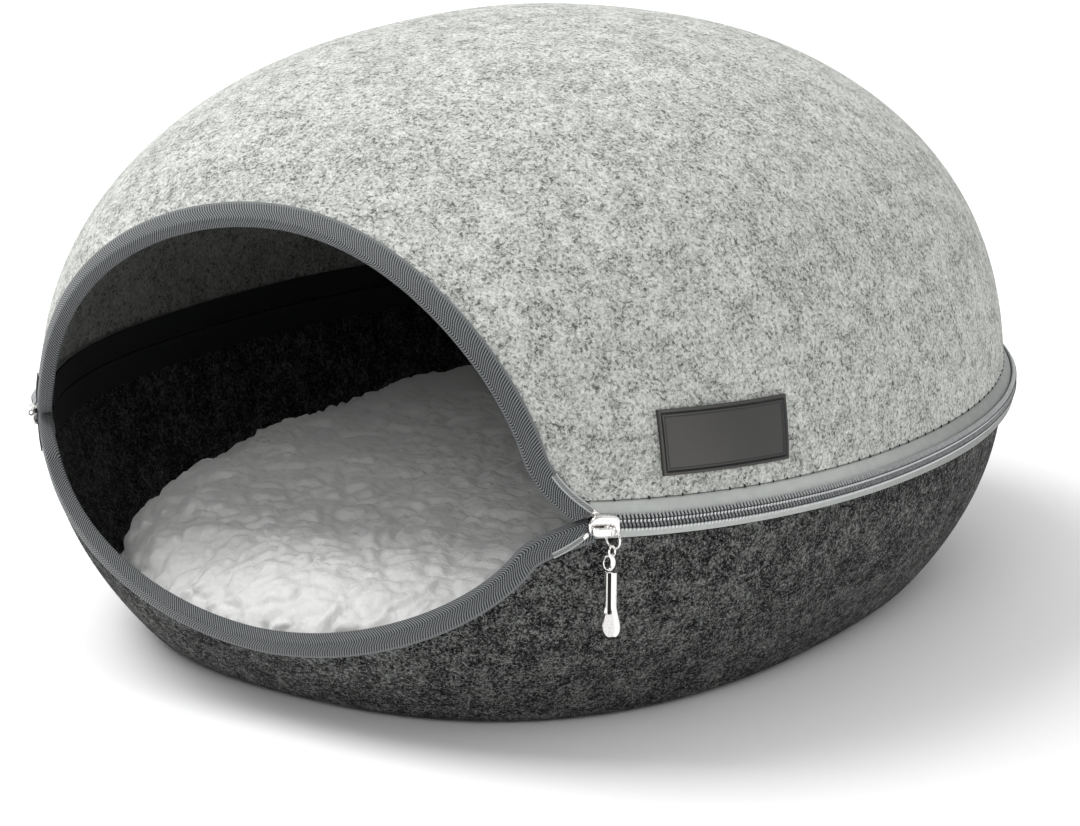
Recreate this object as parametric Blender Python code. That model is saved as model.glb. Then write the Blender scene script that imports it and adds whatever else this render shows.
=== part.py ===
"""A felt pet cave: an egg of two moulded felt shells, a light dome over a dark bowl, zipped together round their seam.

The entrance faces -Y. It is cut through both shells and bound with a folded tape, and a fleece cushion fills the bowl's
floor. Metres, +Z up, with the origin on the underside, below the middle of the egg.
"""

import math
from collections import namedtuple

import bmesh
import bpy
from mathutils import Vector

# The egg's outer face. Angles run round it from the front, towards +X.
HALF_WIDTH = 0.2148
HALF_LENGTH = 0.2454
SEAM_HEIGHT = 0.1012
CROWN_HEIGHT = 0.2770
BOWL_DEPTH = 0.1770  # how far below the seam the bowl's curve would close, if the floor did not cut it
SEAM_FRONT_LIFT = 0.0090  # the seam is this much higher at the front than half way round, and as much lower behind
SEAM_END_LIFT = 0.0038
PLAN_POWER = 2.157  # powers of the superellipses that the outlines follow: 2 is an ellipse, more is squarer
BASE_POWER = 2.533
DOME_POWER = 2.241
BOWL_POWER = 1.960
END_FULLNESS = 0.030  # how much fuller the plan is at its ends than at its waist
BOWL_TUCK = 0.0756  # share of its width that the bowl loses on its way down
BOWL_SHIFT = 0.0065  # how far back the bottom of the bowl lies
BASE_FILLET = 0.0060  # height at which the wall starts to round into the flat base
EGG_MIDDLE = Vector((0, 0, SEAM_HEIGHT))

# Thicknesses and clearances
FELT = 0.0040
TAPE = 0.0008
STRIP = 0.0010
GAP = 0.0003  # between pieces that touch
EASE = 0.0004  # inside a fold of tape, round what it holds

# The entrance, seen from the front: half an oval above and below its middle height. Its half width flares at the zip.
Cut = namedtuple("Cut", "half_width reach power flare flare_reach")
ENTRANCE_HEIGHT = 0.1070
ARCH = Cut(half_width=0.1385, reach=0.1150, power=2.0, flare=0.0135, flare_reach=0.0300)
LIP = Cut(half_width=0.1355, reach=-0.0668, power=1.75, flare=0.0170, flare_reach=0.0135)

# The zip stands proud of the egg between the two felt edges. Sections are in (outward, upward) from the seam's line.
DOME_EDGE = 0.0095  # height of the dome's felt above the seam
BOWL_EDGE = 0.0085  # depth of the bowl's felt below the seam
ZIP_START = math.radians(46.4)  # the zip runs from here, under the slider, round the back
TAPE_FLAP = 0.0130  # how far each tape reaches behind the felt, from the seam
CHAIN_HEIGHT = 0.0008  # the chain's middle, above the seam
CHAIN_OUT = 0.0049
SHOULDER_OUT = 0.0031  # where a tape turns up behind the teeth, and how far from the chain's middle
SHOULDER_REACH = 0.0034
COIL_OFFSET = 0.00165
COIL_HALF_HEIGHT = 0.00145
COIL_HALF_DEPTH = 0.00120
COIL_SIDES = 6

# The folded binding
BINDING_LEG = 0.0085
BINDING_BOW = 5.0  # one over the radius that the legs follow
ARCH_BINDING_END = 0.1096  # height at which the dome's binding stops, level, over the zip
LIP_BINDING_END = math.radians(44.2)

# How finely the shells are divided
FRONT_COLUMNS = 24
BACK_COLUMNS = 36
COMMON_FROM = math.radians(47.0)
COLUMN_EASE = 0.4  # how much closer the columns stand beside the entrance than behind
EDGE_ROW = 0.0095  # the shells' first row of faces, which lies under the binding
DOME_ROWS = 9
WALL_ROWS = 4
FILLET_ROWS = 3
BINDING_TAIL_STEPS = 3
NUDGE = 0.0002  # a small angle or run, over which a slope is measured

# The label sewn on the dome, beside the entrance
LABEL_START, LABEL_END = math.radians(52.1), math.radians(68.0)
LABEL_FOOT = 0.0185  # height above the seam
LABEL_HEIGHT = 0.0285
LABEL_LENGTH = 0.0663
LABEL_THICKNESS = 0.0014
LABEL_FRAME_RISE = 0.0006
LABEL_FRAME_WIDTH = 0.0022
LABEL_FRAME_SLOPE = 0.0006
LABEL_STEPS = 4

# The cushion: rings of its section, as a share of the bowl's inside and a height
CushionRing = namedtuple("CushionRing", "share height")
CUSHION_SIDE = 0.0300  # height at which it is widest
CUSHION_CLEARANCE = 0.0035
CUSHION_RINGS = (
    CushionRing(0.40, 0.0000),
    CushionRing(0.80, 0.0000),
    CushionRing(0.93, 0.0070),
    CushionRing(1.00, 0.0260),
    CushionRing(0.985, 0.0370),
    CushionRing(0.93, 0.0465),
    CushionRing(0.80, 0.0525),
    CushionRing(0.45, 0.0560),
)
CUSHION_CROWN = 0.0570
CUSHION_COLUMNS = 48
CUSHION_WAVES = 9  # soft bulges round its side, and how far they reach in and out
CUSHION_WAVE = 0.012
CUSHION_SAG = 0.0016  # how unevenly its top lies

# The zip's sliders, and the pull that hangs from the right one. Local x runs along the chain, -y stands out, z is up.
SLIDER_ANGLE = math.radians(45.6)
SliderRing = namedtuple("SliderRing", "along half_height")
SLIDER_RINGS = (
    SliderRing(-0.0060, 0.0026),
    SliderRing(-0.0051, 0.0040),
    SliderRing(-0.0030, 0.0048),
    SliderRing(0.0020, 0.0049),
    SliderRing(0.0050, 0.0047),
    SliderRing(0.0072, 0.0046),
    SliderRing(0.0077, 0.0045),
)
SLIDER_PLATE_IN, SLIDER_PLATE_OUT = 0.0016, 0.0029
SLIDER_FLANGE = 0.0010
SLIDER_FLANGE_DEPTH = 0.0008
SLIDER_CHAMFER = 0.0008
BRIDGE_ALONG = 0.0007
BRIDGE_HALF_SPAN = 0.0034
BRIDGE_RISE = 0.0036
BRIDGE_DROP = 0.0026
BRIDGE_WIDTH = 0.0010
BRIDGE_THICKNESS = 0.0008
BRIDGE_STEPS = 8
WIRE = 0.0006
RING_RADIUS = 0.0050
RING_ALONG = 0.0021
RING_OUT = 0.0086  # from the chain's middle
RING_DROP = 0.0055
RING_TURN = math.radians(25)
LINK_HALF_WIDTH = 0.0024
LINK_HALF_HEIGHT = 0.0055
WIRE_STEPS = 20
PendantRing = namedtuple("PendantRing", "drop half_width half_depth")
PENDANT_RINGS = (
    PendantRing(0.0000, 0.0005, 0.0010),
    PendantRing(0.0008, 0.0008, 0.0019),
    PendantRing(0.0042, 0.0008, 0.0019),
    PendantRing(0.0056, 0.0020, 0.0013),
    PendantRing(0.0150, 0.0021, 0.0012),
    PendantRing(0.0215, 0.0030, 0.0011),
    PendantRing(0.0255, 0.0041, 0.0011),
    PendantRing(0.0285, 0.0037, 0.0010),
    PendantRing(0.0304, 0.0015, 0.0006),
)
PENDANT_SIDES = 12
PENDANT_EYE_DROP = 0.0023
PENDANT_EYE_RADIUS = 0.0011
PENDANT_EYE_CUT = 0.0040

# Colour, roughness and metallic value of each material
Finish = namedtuple("Finish", "colour roughness metallic")
FINISHES = {
    "light felt": Finish((0.62, 0.63, 0.60), 0.95, 0.0),
    "dark felt": Finish((0.060, 0.062, 0.063), 0.95, 0.0),
    "grey binding": Finish((0.14, 0.15, 0.155), 0.80, 0.0),
    "zip tape": Finish((0.36, 0.38, 0.375), 0.60, 0.0),
    "zip teeth": Finish((0.30, 0.32, 0.33), 0.35, 0.3),
    "black strip": Finish((0.010, 0.010, 0.011), 0.90, 0.0),
    "bright metal": Finish((0.80, 0.79, 0.77), 0.15, 1.0),
    "grey rubber": Finish((0.075, 0.073, 0.072), 0.55, 0.0),
    "white fleece": Finish((0.86, 0.86, 0.84), 1.0, 0.0),
}


def clear_scene():
    for thing in list(bpy.data.objects):
        bpy.data.objects.remove(thing)


def make_materials():
    made = {}
    for name, finish in FINISHES.items():
        material = bpy.data.materials.new(name)
        material.use_nodes = True
        shader = material.node_tree.nodes["Principled BSDF"]
        shader.inputs["Base Color"].default_value = (*finish.colour, 1)
        shader.inputs["Roughness"].default_value = finish.roughness
        shader.inputs["Metallic"].default_value = finish.metallic
        made[name] = material
    return made


# --- The egg's faces ---


def superellipse(run, power):
    """(reach, rise) along a quarter superellipse, from (1, 0) at run 0 to (0, 1) at run 1."""
    turn = run * math.pi / 2
    return math.cos(turn) ** (2 / power), math.sin(turn) ** (2 / power)


def plan(angle, power):
    """The egg's outline seen from above."""
    sine, cosine = math.sin(angle), math.cos(angle)
    reach = (abs(sine) ** power + abs(cosine) ** power) ** (-1 / power)
    x, y = HALF_WIDTH * reach * sine, -HALF_LENGTH * reach * cosine
    return x * (1 + END_FULLNESS * ((y / HALF_LENGTH) ** 2 - 0.5)), y


def seam_height(angle):
    return SEAM_HEIGHT + SEAM_FRONT_LIFT * math.cos(angle) + SEAM_END_LIFT * math.cos(2 * angle)


def dome(angle, run):
    """The dome's outer face: run goes from 0 at the seam to 1 at the crown."""
    reach, rise = superellipse(run, DOME_POWER)
    x, y = plan(angle, PLAN_POWER)
    start = seam_height(angle)
    return Vector((x * reach, y * reach, start + (CROWN_HEIGHT - start) * rise))


def bowl(angle, run):
    """The bowl's outer face: run goes from 0 at the seam to 1 at the middle of the flat base."""
    reach, sink = superellipse(run, BOWL_POWER)
    x, y = plan(angle, PLAN_POWER)
    base_x, base_y = plan(angle, BASE_POWER)
    x = (x + (base_x - x) * sink) * reach * (1 - BOWL_TUCK * sink)
    y = (y + (base_y - y) * sink) * reach + BOWL_SHIFT * sink
    start = seam_height(angle)
    height = start - (start - SEAM_HEIGHT + BOWL_DEPTH) * sink
    if height < BASE_FILLET:
        height = max(0.0, height + BASE_FILLET) ** 2 / (4 * BASE_FILLET)
    return Vector((x, y, height))


def outward(face, angle, run):
    """A face's normal, pointing away from the egg's middle."""
    run = min(max(run, 10 * NUDGE), 1 - 10 * NUDGE)
    around = face(angle + NUDGE, run) - face(angle - NUDGE, run)
    along = face(angle, run + NUDGE) - face(angle, run - NUDGE)
    normal = around.cross(along).normalized()
    return normal if normal.dot(face(angle, run) - EGG_MIDDLE) > 0 else -normal


def crossing(measure, low, high):
    """Where a measure that is positive at low and not at high changes sign."""
    for _ in range(40):
        middle = (low + high) / 2
        low, high = (middle, high) if measure(middle) > 0 else (low, middle)
    return (low + high) / 2


# --- The entrance ---


def half_opening(cut, height):
    """Half the entrance's width at a height, or a negative number past its end."""
    away = (height - ENTRANCE_HEIGHT) / cut.reach
    if away >= 1:
        return 1 - away
    flare = cut.flare * max(0.0, 1 - away * abs(cut.reach) / cut.flare_reach) ** 2
    return cut.half_width * (1 - max(0.0, away) ** cut.power) ** (1 / cut.power) + flare


def cut_run(face, cut, angle):
    """The run at which a column of the face leaves the entrance, or 0 where it never enters."""

    def inside(run):
        point = face(angle, run)
        return half_opening(cut, point.z) - abs(point.x)

    return crossing(inside, 0.0, 0.97) if inside(0.0005) > 0 else 0.0


def edge_run(face, angle, clear):
    """The run at which a face is a given height clear of the seam."""
    return crossing(lambda run: clear - abs(face(angle, run).z - seam_height(angle)), 0.0, 0.5)


def corner_of(face, cut, clear):
    """The angle at which the entrance meets the felt's edge along the zip."""
    return crossing(lambda angle: cut_run(face, cut, angle) - edge_run(face, angle, clear), 0.3, 1.2)


def edge_frame(face, cut, angle):
    """A point of the entrance's edge, with the way along it, the way into the opening and the face's normal."""
    before, here, after = (face(at, cut_run(face, cut, at)) for at in (angle - NUDGE, angle, angle + NUDGE))
    along = (after - before).normalized()
    out = outward(face, angle, cut_run(face, cut, angle))
    into = out.cross(along) * (1 if face is bowl else -1)
    return here, along, into, out


def spot_beside(face, angle, run, step):
    """The angle and run of the face's nearest spot to a step away from one of its spots."""
    target = face(angle, run) + step
    for _ in range(4):
        here = face(angle, run)
        around = (face(angle + NUDGE, run) - here) / NUDGE
        along = (face(angle, run + NUDGE) - here) / NUDGE
        away = target - here
        shared = around.dot(along)
        scale = around.length_squared * along.length_squared - shared**2
        angle += (along.length_squared * around.dot(away) - shared * along.dot(away)) / scale
        run += (around.length_squared * along.dot(away) - shared * around.dot(away)) / scale
    return angle, run


def front_angles(corner):
    """Columns across the entrance, closest together at its corners."""
    steps = range(FRONT_COLUMNS + 1)
    return [corner * math.sin(math.pi * (step / FRONT_COLUMNS - 0.5)) for step in steps]


def back_angles():
    """Columns round the back, from one side of the entrance to the other."""
    angles = []
    for step in range(BACK_COLUMNS + 1):
        share = step / BACK_COLUMNS
        share -= COLUMN_EASE * math.sin(2 * math.pi * share) / (2 * math.pi)
        angles.append(COMMON_FROM + share * (2 * math.pi - 2 * COMMON_FROM))
    return angles


# --- Meshes ---


def join_rings(bm, first, second, closed=True):
    count = len(first)
    for index in range(count if closed else count - 1):
        after = (index + 1) % count
        bm.faces.new((first[index], first[after], second[after], second[index]))


def add_solid(name, bm, material, parent=None):
    """One closed solid from a bmesh, its faces turned outwards."""
    bmesh.ops.recalc_face_normals(bm, faces=bm.faces)
    mesh = bpy.data.meshes.new(name)
    bm.to_mesh(mesh)
    bm.free()
    mesh.shade_smooth()
    mesh.set_sharp_from_angle(angle=math.radians(40))
    mesh.materials.append(material)
    solid = bpy.data.objects.new(name, mesh)
    solid.parent = parent
    bpy.context.scene.collection.objects.link(solid)
    return solid


def loft(name, sections, material, parent=None):
    """A closed solid through a row of closed sections, with flat ends."""
    bm = bmesh.new()
    rings = [[bm.verts.new(point) for point in section] for section in sections]
    for first, second in zip(rings, rings[1:]):
        join_rings(bm, first, second)
    bm.faces.new(rings[0])
    bm.faces.new(rings[-1])
    return add_solid(name, bm, material, parent)


def strip_outline(line, thickness):
    """The closed outline of a strip of cloth along a centre line of 2D points, mitred at its bends."""
    left, right = [], []
    for index, point in enumerate(line):
        ways = [line[near + 1] - line[near] for near in (index - 1, index) if 0 <= near < len(line) - 1]
        sides = [Vector((-way.y, way.x)).normalized() for way in ways]
        middle = sum(sides, Vector((0, 0))).normalized()
        offset = middle * (thickness / 2 / middle.dot(sides[0]))
        left.append(point + offset)
        right.append(point - offset)
    return left + right[::-1]


# --- The felt shells ---


def felt_shell(name, face, front, back, material):
    """A shell of felt, from columns of (angle, run) spots on its outer face. The back ones have a level edge."""
    bm = bmesh.new()
    sides = []
    for depth in (0.0, FELT):
        rows = []
        for column in front + back:
            points = [face(angle, run) - outward(face, angle, run) * depth for angle, run in column]
            rows.append(points)
        for points, ((angle, run), *_) in zip(rows[len(front) :], back):
            down = face(angle, run + NUDGE) - face(angle, run)
            points[0] += down * ((face(angle, run).z - points[0].z) / down.z)
        pole = face(0, 1)
        towards_middle = Vector((0, 0, 1 if pole.z < SEAM_HEIGHT else -1))
        rings = [[bm.verts.new(point) for point in points] for points in rows]
        sides.append((rings, bm.verts.new(pole + towards_middle * depth)))
    for rings, pole in sides:
        for first, second in zip(rings, rings[1:] + rings[:1]):
            join_rings(bm, first, second, closed=False)
            bm.faces.new((first[-1], second[-1], pole))
    outer_edge, inner_edge = ([ring[0] for ring in rings] for rings, _ in sides)
    join_rings(bm, outer_edge, inner_edge)
    return add_solid(name, bm, material)


def shell_columns(face, cut, clear, runs_after):
    """A shell's front and back columns: a first row of faces square to its edge, then spots on the runs that follow."""
    corner = corner_of(face, cut, clear)
    front, back = [], []
    for angle in front_angles(corner):
        run = max(cut_run(face, cut, angle), edge_run(face, angle, clear))
        _, _, into, _ = edge_frame(face, cut, angle)
        front.append([(angle, run), spot_beside(face, angle, run, into * -EDGE_ROW)])
    between = (corner + COMMON_FROM) / 2
    for angle in [between, *back_angles(), -between]:
        back.append([(angle, edge_run(face, angle, height)) for height in (clear, clear + EDGE_ROW)])
    for column in front + back:
        angle, run = column[-1]
        column += [(angle, later) for later in runs_after(angle, run)]
    return front, back


def dome_runs(_, start):
    return [start + (1 - start) * row / DOME_ROWS for row in range(1, DOME_ROWS)]


def bowl_runs(angle, start):
    """Down the wall, through the fillet at its foot, and once across the flat base."""

    def run_at(height):
        sink = (seam_height(angle) - height) / (seam_height(angle) - SEAM_HEIGHT + BOWL_DEPTH)
        return math.asin(sink ** (BOWL_POWER / 2)) * 2 / math.pi

    foot = run_at(BASE_FILLET)
    wall = [start + (foot - start) * row / WALL_ROWS for row in range(1, WALL_ROWS)]
    drop = 2 * BASE_FILLET / FILLET_ROWS
    fillet = [run_at(BASE_FILLET - drop * row) for row in range(FILLET_ROWS + 1)]
    return [*wall, *fillet, (fillet[-1] + 1) / 2]


# --- The binding ---


def binding_line():
    """The folded tape's centre line: (towards the opening, outward) from the felt's outer edge."""
    spine, inner = EASE + TAPE / 2, -FELT - EASE - TAPE / 2
    reaches = (BINDING_LEG, BINDING_LEG / 2)
    outer_leg = [Vector((-reach, spine - BINDING_BOW * reach**2 / 2)) for reach in reaches]
    inner_leg = [Vector((-reach, inner - BINDING_BOW * reach**2 / 2)) for reach in reaches]
    fold = [Vector((0, spine)), Vector((spine, 0)), Vector((spine, -FELT)), Vector((0, inner))]
    return outer_leg + fold + inner_leg[::-1]


def make_binding(name, face, cut, clear, last_angle, material, level=None):
    """A tape folded over the entrance's edge, past the felt's corners. Its ends are cut square, or at a level height."""
    corner = corner_of(face, cut, clear)
    tail = [corner + (last_angle - corner) * step / BINDING_TAIL_STEPS for step in range(1, BINDING_TAIL_STEPS + 1)]
    outline = strip_outline(binding_line(), TAPE)
    sections = []
    for angle in [-angle for angle in tail[::-1]] + front_angles(corner) + tail:
        point, along, into, out = edge_frame(face, cut, angle)
        section = [point + into * spot.x + out * spot.y for spot in outline]
        if level and abs(angle) > last_angle - NUDGE:
            section = [spot + along * ((level - spot.z) / along.z) for spot in section]
        sections.append(section)
    return loft(name, sections, material)


def arch_angle_at(height):
    """The angle at which the dome's edge comes down to a height, near its corner."""
    return crossing(lambda angle: dome(angle, cut_run(dome, ARCH, angle)).z - height, 0.5, 0.75)


# --- The zip ---


def seam_frame(angle):
    """A point of the seam, with the level direction that stands out from it."""
    way = dome(angle + NUDGE, 0) - dome(angle - NUDGE, 0)
    return dome(angle, 0), Vector((way.y, -way.x, 0)).normalized()


def zip_angles():
    ends = [ZIP_START, 2 * math.pi - ZIP_START]
    return ends[:1] + [angle for angle in back_angles() if ends[0] < angle < ends[1]] + ends[1:]


def run_round_seam(name, outline, material):
    """A solid whose section, in (outward, upward) from the egg's face at the seam, is carried round the back."""
    sections = []
    for angle in zip_angles():
        _, out = seam_frame(angle)
        section = []
        for spot in outline:
            face = dome if spot.y > 0 else bowl
            section.append(face(angle, edge_run(face, angle, abs(spot.y))) + out * spot.x)
        sections.append(section)
    return loft(name, sections, material)


def make_zip(side, edge, name, materials):
    """One half of the zip: its tape, its row of teeth, and the strip that covers the tape inside. side is 1 or -1."""
    fold = edge - EASE - TAPE / 2
    behind = -FELT - GAP - TAPE / 2
    line = [
        Vector((behind, side * TAPE_FLAP)),
        Vector((behind, side * fold)),
        Vector((-TAPE / 2, side * fold)),
        Vector((SHOULDER_OUT, CHAIN_HEIGHT + side * SHOULDER_REACH)),
        Vector((SHOULDER_OUT, CHAIN_HEIGHT + side * GAP)),
    ]
    run_round_seam(f"zip_tape_{name}", strip_outline(line, TAPE), materials["zip tape"])
    coil = []
    for step in range(COIL_SIDES):
        turn = 2 * math.pi * (step + 0.5) / COIL_SIDES
        out, up = COIL_HALF_DEPTH * math.cos(turn), COIL_HALF_HEIGHT * math.sin(turn)
        coil.append(Vector((CHAIN_OUT + out, CHAIN_HEIGHT + side * COIL_OFFSET + up)))
    run_round_seam(f"zip_teeth_{name}", coil, materials["zip teeth"])
    cover = behind - TAPE / 2 - GAP - STRIP / 2
    cover_line = [Vector((cover, side * up)) for up in (TAPE_FLAP, GAP)]
    run_round_seam(f"seam_strip_{name}", strip_outline(cover_line, STRIP), materials["black strip"])


# --- The sliders and the pull ---


def place_on_chain(angle, name, slope=0.0):
    """An empty on the chain, with its -y standing out and its z up, or its x tilted to the seam's slope."""
    point, out = seam_frame(angle)
    place = bpy.data.objects.new(name, None)
    place.location = point + out * CHAIN_OUT + Vector((0, 0, CHAIN_HEIGHT))
    place.rotation_euler = (0, -slope, math.atan2(out.x, -out.y))
    bpy.context.scene.collection.objects.link(place)
    return place


def seam_slope(angle):
    way = dome(angle + NUDGE, 0) - dome(angle - NUDGE, 0)
    return math.atan2(way.z, way.xy.length)


def make_slider(side, name, place, material):
    """The slider's body, open underneath for the teeth, and the bridge over it. side 1 runs along +x."""
    sections = []
    for ring in SLIDER_RINGS:
        half, inside = ring.half_height, ring.half_height - SLIDER_FLANGE
        outline = [
            (-SLIDER_FLANGE_DEPTH, half),
            (SLIDER_PLATE_OUT - SLIDER_CHAMFER, half),
            (SLIDER_PLATE_OUT, half - SLIDER_CHAMFER),
            (SLIDER_PLATE_OUT, SLIDER_CHAMFER - half),
            (SLIDER_PLATE_OUT - SLIDER_CHAMFER, -half),
            (-SLIDER_FLANGE_DEPTH, -half),
            (-SLIDER_FLANGE_DEPTH, -inside),
            (SLIDER_PLATE_IN, -inside),
            (SLIDER_PLATE_IN, inside),
            (-SLIDER_FLANGE_DEPTH, inside),
        ]
        sections.append([Vector((side * ring.along, -out, up)) for out, up in outline])
    loft(f"slider_{name}", sections, material, place)
    line = []
    for step in range(BRIDGE_STEPS + 1):
        turn = math.pi * step / BRIDGE_STEPS
        rise = SLIDER_PLATE_OUT + GAP + BRIDGE_RISE * math.sin(turn) ** 0.5
        line.append(Vector((BRIDGE_ALONG - BRIDGE_HALF_SPAN * math.cos(turn), rise)))
    outline = strip_outline(line, BRIDGE_THICKNESS)
    edges = [-BRIDGE_DROP - BRIDGE_WIDTH / 2, -BRIDGE_DROP + BRIDGE_WIDTH / 2]
    sections = [[Vector((side * spot.x, -spot.y, up)) for spot in outline] for up in edges]
    loft(f"slider_bridge_{name}", sections, material, place)


def make_wire_ring(name, points, parent, material):
    """A closed ring of round wire through its points."""
    curve = bpy.data.curves.new(name, "CURVE")
    curve.dimensions = "3D"
    curve.bevel_depth = WIRE
    curve.bevel_resolution = 1
    spline = curve.splines.new("POLY")
    spline.points.add(len(points) - 1)
    for spot, point in zip(spline.points, points):
        spot.co = (*point, 1)
    spline.use_cyclic_u = True
    curve.materials.append(material)
    ring = bpy.data.objects.new(name, curve)
    ring.parent = parent
    bpy.context.scene.collection.objects.link(ring)


def make_pull(place, material):
    """The ring through the bridge, the long link in the ring, and the pendant on the link, all hanging straight down."""
    across = Vector((math.sin(RING_TURN), -math.cos(RING_TURN), 0))
    beside = Vector((math.cos(RING_TURN), math.sin(RING_TURN), 0))
    up = Vector((0, 0, 1))
    middle = Vector((RING_ALONG, -RING_OUT, -RING_DROP))
    turns = [2 * math.pi * step / WIRE_STEPS for step in range(WIRE_STEPS)]
    ring = [middle + (across * math.cos(turn) + up * math.sin(turn)) * RING_RADIUS for turn in turns]
    make_wire_ring("pull_ring", ring, place, material)
    link_top = -RING_DROP - RING_RADIUS + 2 * WIRE + GAP
    link_middle = Vector((middle.x, middle.y, link_top - LINK_HALF_HEIGHT))
    straight = LINK_HALF_HEIGHT - LINK_HALF_WIDTH
    link = []
    for turn in turns:
        shift = straight if math.sin(turn) > 0.001 else -straight if math.sin(turn) < -0.001 else 0
        spot = beside * math.cos(turn) * LINK_HALF_WIDTH + up * (math.sin(turn) * LINK_HALF_WIDTH + shift)
        link.append(link_middle + spot)
    make_wire_ring("pull_link", link, place, material)
    link_bottom = link_top - 2 * LINK_HALF_HEIGHT
    eye = Vector((middle.x, middle.y, link_bottom - WIRE - GAP + PENDANT_EYE_RADIUS))
    sections = []
    for ring in PENDANT_RINGS:
        section = []
        for step in range(PENDANT_SIDES):
            turn = 2 * math.pi * step / PENDANT_SIDES
            side = beside * math.cos(turn) * ring.half_width + across * math.sin(turn) * ring.half_depth
            section.append(eye + side + up * (PENDANT_EYE_DROP - ring.drop))
        sections.append(section)
    pendant = loft("pull_pendant", sections, material, place)
    cutter_ends = [eye + beside * reach for reach in (-PENDANT_EYE_CUT, PENDANT_EYE_CUT)]
    rim = []
    for end in cutter_ends:
        turned = [across * math.cos(turn) + up * math.sin(turn) for turn in turns]
        rim.append([end + spoke * PENDANT_EYE_RADIUS for spoke in turned])
    cutter = loft("pendant_eye_cutter", rim, material, place)
    cutter.hide_render = True
    cutter.display_type = "WIRE"
    hole = pendant.modifiers.new("eye", "BOOLEAN")
    hole.operation = "DIFFERENCE"
    hole.object = cutter


# --- The label and the cushion ---


def make_label(material):
    """A bare rubber label with a raised frame, curved to the dome."""
    frame, slope = LABEL_FRAME_WIDTH, LABEL_FRAME_SLOPE
    field = LABEL_LENGTH - 2 * (frame + slope)
    lengths = [0, frame] + [frame + slope + field * step / LABEL_STEPS for step in range(LABEL_STEPS + 1)]
    lengths += [LABEL_LENGTH - frame, LABEL_LENGTH]
    heights = [0, frame, frame + slope, LABEL_HEIGHT / 2]
    heights += [LABEL_HEIGHT - frame - slope, LABEL_HEIGHT - frame, LABEL_HEIGHT]
    bm = bmesh.new()
    backs, fronts = [], []
    for along in lengths:
        angle = LABEL_START + (LABEL_END - LABEL_START) * along / LABEL_LENGTH
        back, front = [], []
        for up in heights:
            run = edge_run(dome, angle, LABEL_FOOT + up)
            point, out = dome(angle, run), outward(dome, angle, run)
            to_edge = min(along, LABEL_LENGTH - along, up, LABEL_HEIGHT - up)
            rise = LABEL_FRAME_RISE if to_edge < frame + slope / 2 else 0
            back.append(bm.verts.new(point + out * GAP))
            front.append(bm.verts.new(point + out * (GAP + LABEL_THICKNESS + rise)))
        backs.append(back)
        fronts.append(front)
    for rows in (backs, fronts):
        for first, second in zip(rows, rows[1:]):
            join_rings(bm, first, second, closed=False)
    for back, front in ((backs[0], fronts[0]), (backs[-1], fronts[-1])):
        join_rings(bm, back, front, closed=False)
    for end in (0, -1):
        join_rings(bm, [row[end] for row in backs], [row[end] for row in fronts], closed=False)
    return add_solid("label", bm, material)


def make_cushion(material):
    """A filled fleece cushion, flat below and crowned above, its side in soft bulges just inside the bowl's wall."""
    middle = Vector((0, BOWL_SHIFT / 2, 0))
    outline = []
    for step in range(CUSHION_COLUMNS):
        angle = 2 * math.pi * step / CUSHION_COLUMNS
        run = crossing(lambda run, angle=angle: bowl(angle, run).z - CUSHION_SIDE, 0.0, 0.9)
        edge = bowl(angle, run) - outward(bowl, angle, run) * (FELT + CUSHION_CLEARANCE)
        wave = 1 - CUSHION_WAVE * math.sin(CUSHION_WAVES * angle / 2) ** 2
        sag = CUSHION_SAG * (math.sin(2 * angle + 0.5) + math.sin(5 * angle)) / 2
        outline.append((Vector((edge.x, edge.y, 0)) - middle, wave, sag))
    floor = FELT + GAP
    bm = bmesh.new()
    rings = []
    for ring in CUSHION_RINGS:
        verts = []
        for spoke, wave, sag in outline:
            rise = floor + ring.height + sag * ring.height / CUSHION_CROWN
            verts.append(bm.verts.new(middle + spoke * ring.share * wave + Vector((0, 0, rise))))
        rings.append(verts)
    for first, second in zip(rings, rings[1:]):
        join_rings(bm, first, second)
    bm.faces.new(rings[0])
    crown = bm.verts.new(middle + Vector((0, 0, floor + CUSHION_CROWN)))
    for first, second in zip(rings[-1], rings[-1][1:] + rings[-1][:1]):
        bm.faces.new((first, second, crown))
    return add_solid("cushion", bm, material)


def main():
    clear_scene()
    materials = make_materials()
    felt_shell("dome_felt", dome, *shell_columns(dome, ARCH, DOME_EDGE, dome_runs), materials["light felt"])
    felt_shell("bowl_felt", bowl, *shell_columns(bowl, LIP, BOWL_EDGE, bowl_runs), materials["dark felt"])
    grey = materials["grey binding"]
    arch_end = arch_angle_at(ARCH_BINDING_END)
    make_binding("dome_binding", dome, ARCH, DOME_EDGE, arch_end, grey, level=ARCH_BINDING_END)
    make_binding("bowl_binding", bowl, LIP, BOWL_EDGE, LIP_BINDING_END, grey)
    make_zip(1, DOME_EDGE, "upper", materials)
    make_zip(-1, BOWL_EDGE, "lower", materials)
    for side, name in ((1, "right"), (-1, "left")):
        angle = side * SLIDER_ANGLE
        place = place_on_chain(angle, f"slider_place_{name}", seam_slope(angle))
        make_slider(side, name, place, materials["bright metal"])
    make_pull(place_on_chain(SLIDER_ANGLE, "pull_place"), materials["bright metal"])
    make_label(materials["grey rubber"])
    make_cushion(materials["white fleece"])


main()
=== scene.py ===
"""The looks of a felt pet cave: a light dome zipped onto a dark bowl, with a bound entrance and a fleece cushion.

Metres, +Z up, with the entrance facing -Y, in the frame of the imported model. Angles run round the egg from its front,
towards +X.
"""

import math
from collections import namedtuple

import bmesh
import bpy
import numpy as np
from mathutils import Matrix, Vector, noise
from mathutils.bvhtree import BVHTree


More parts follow.
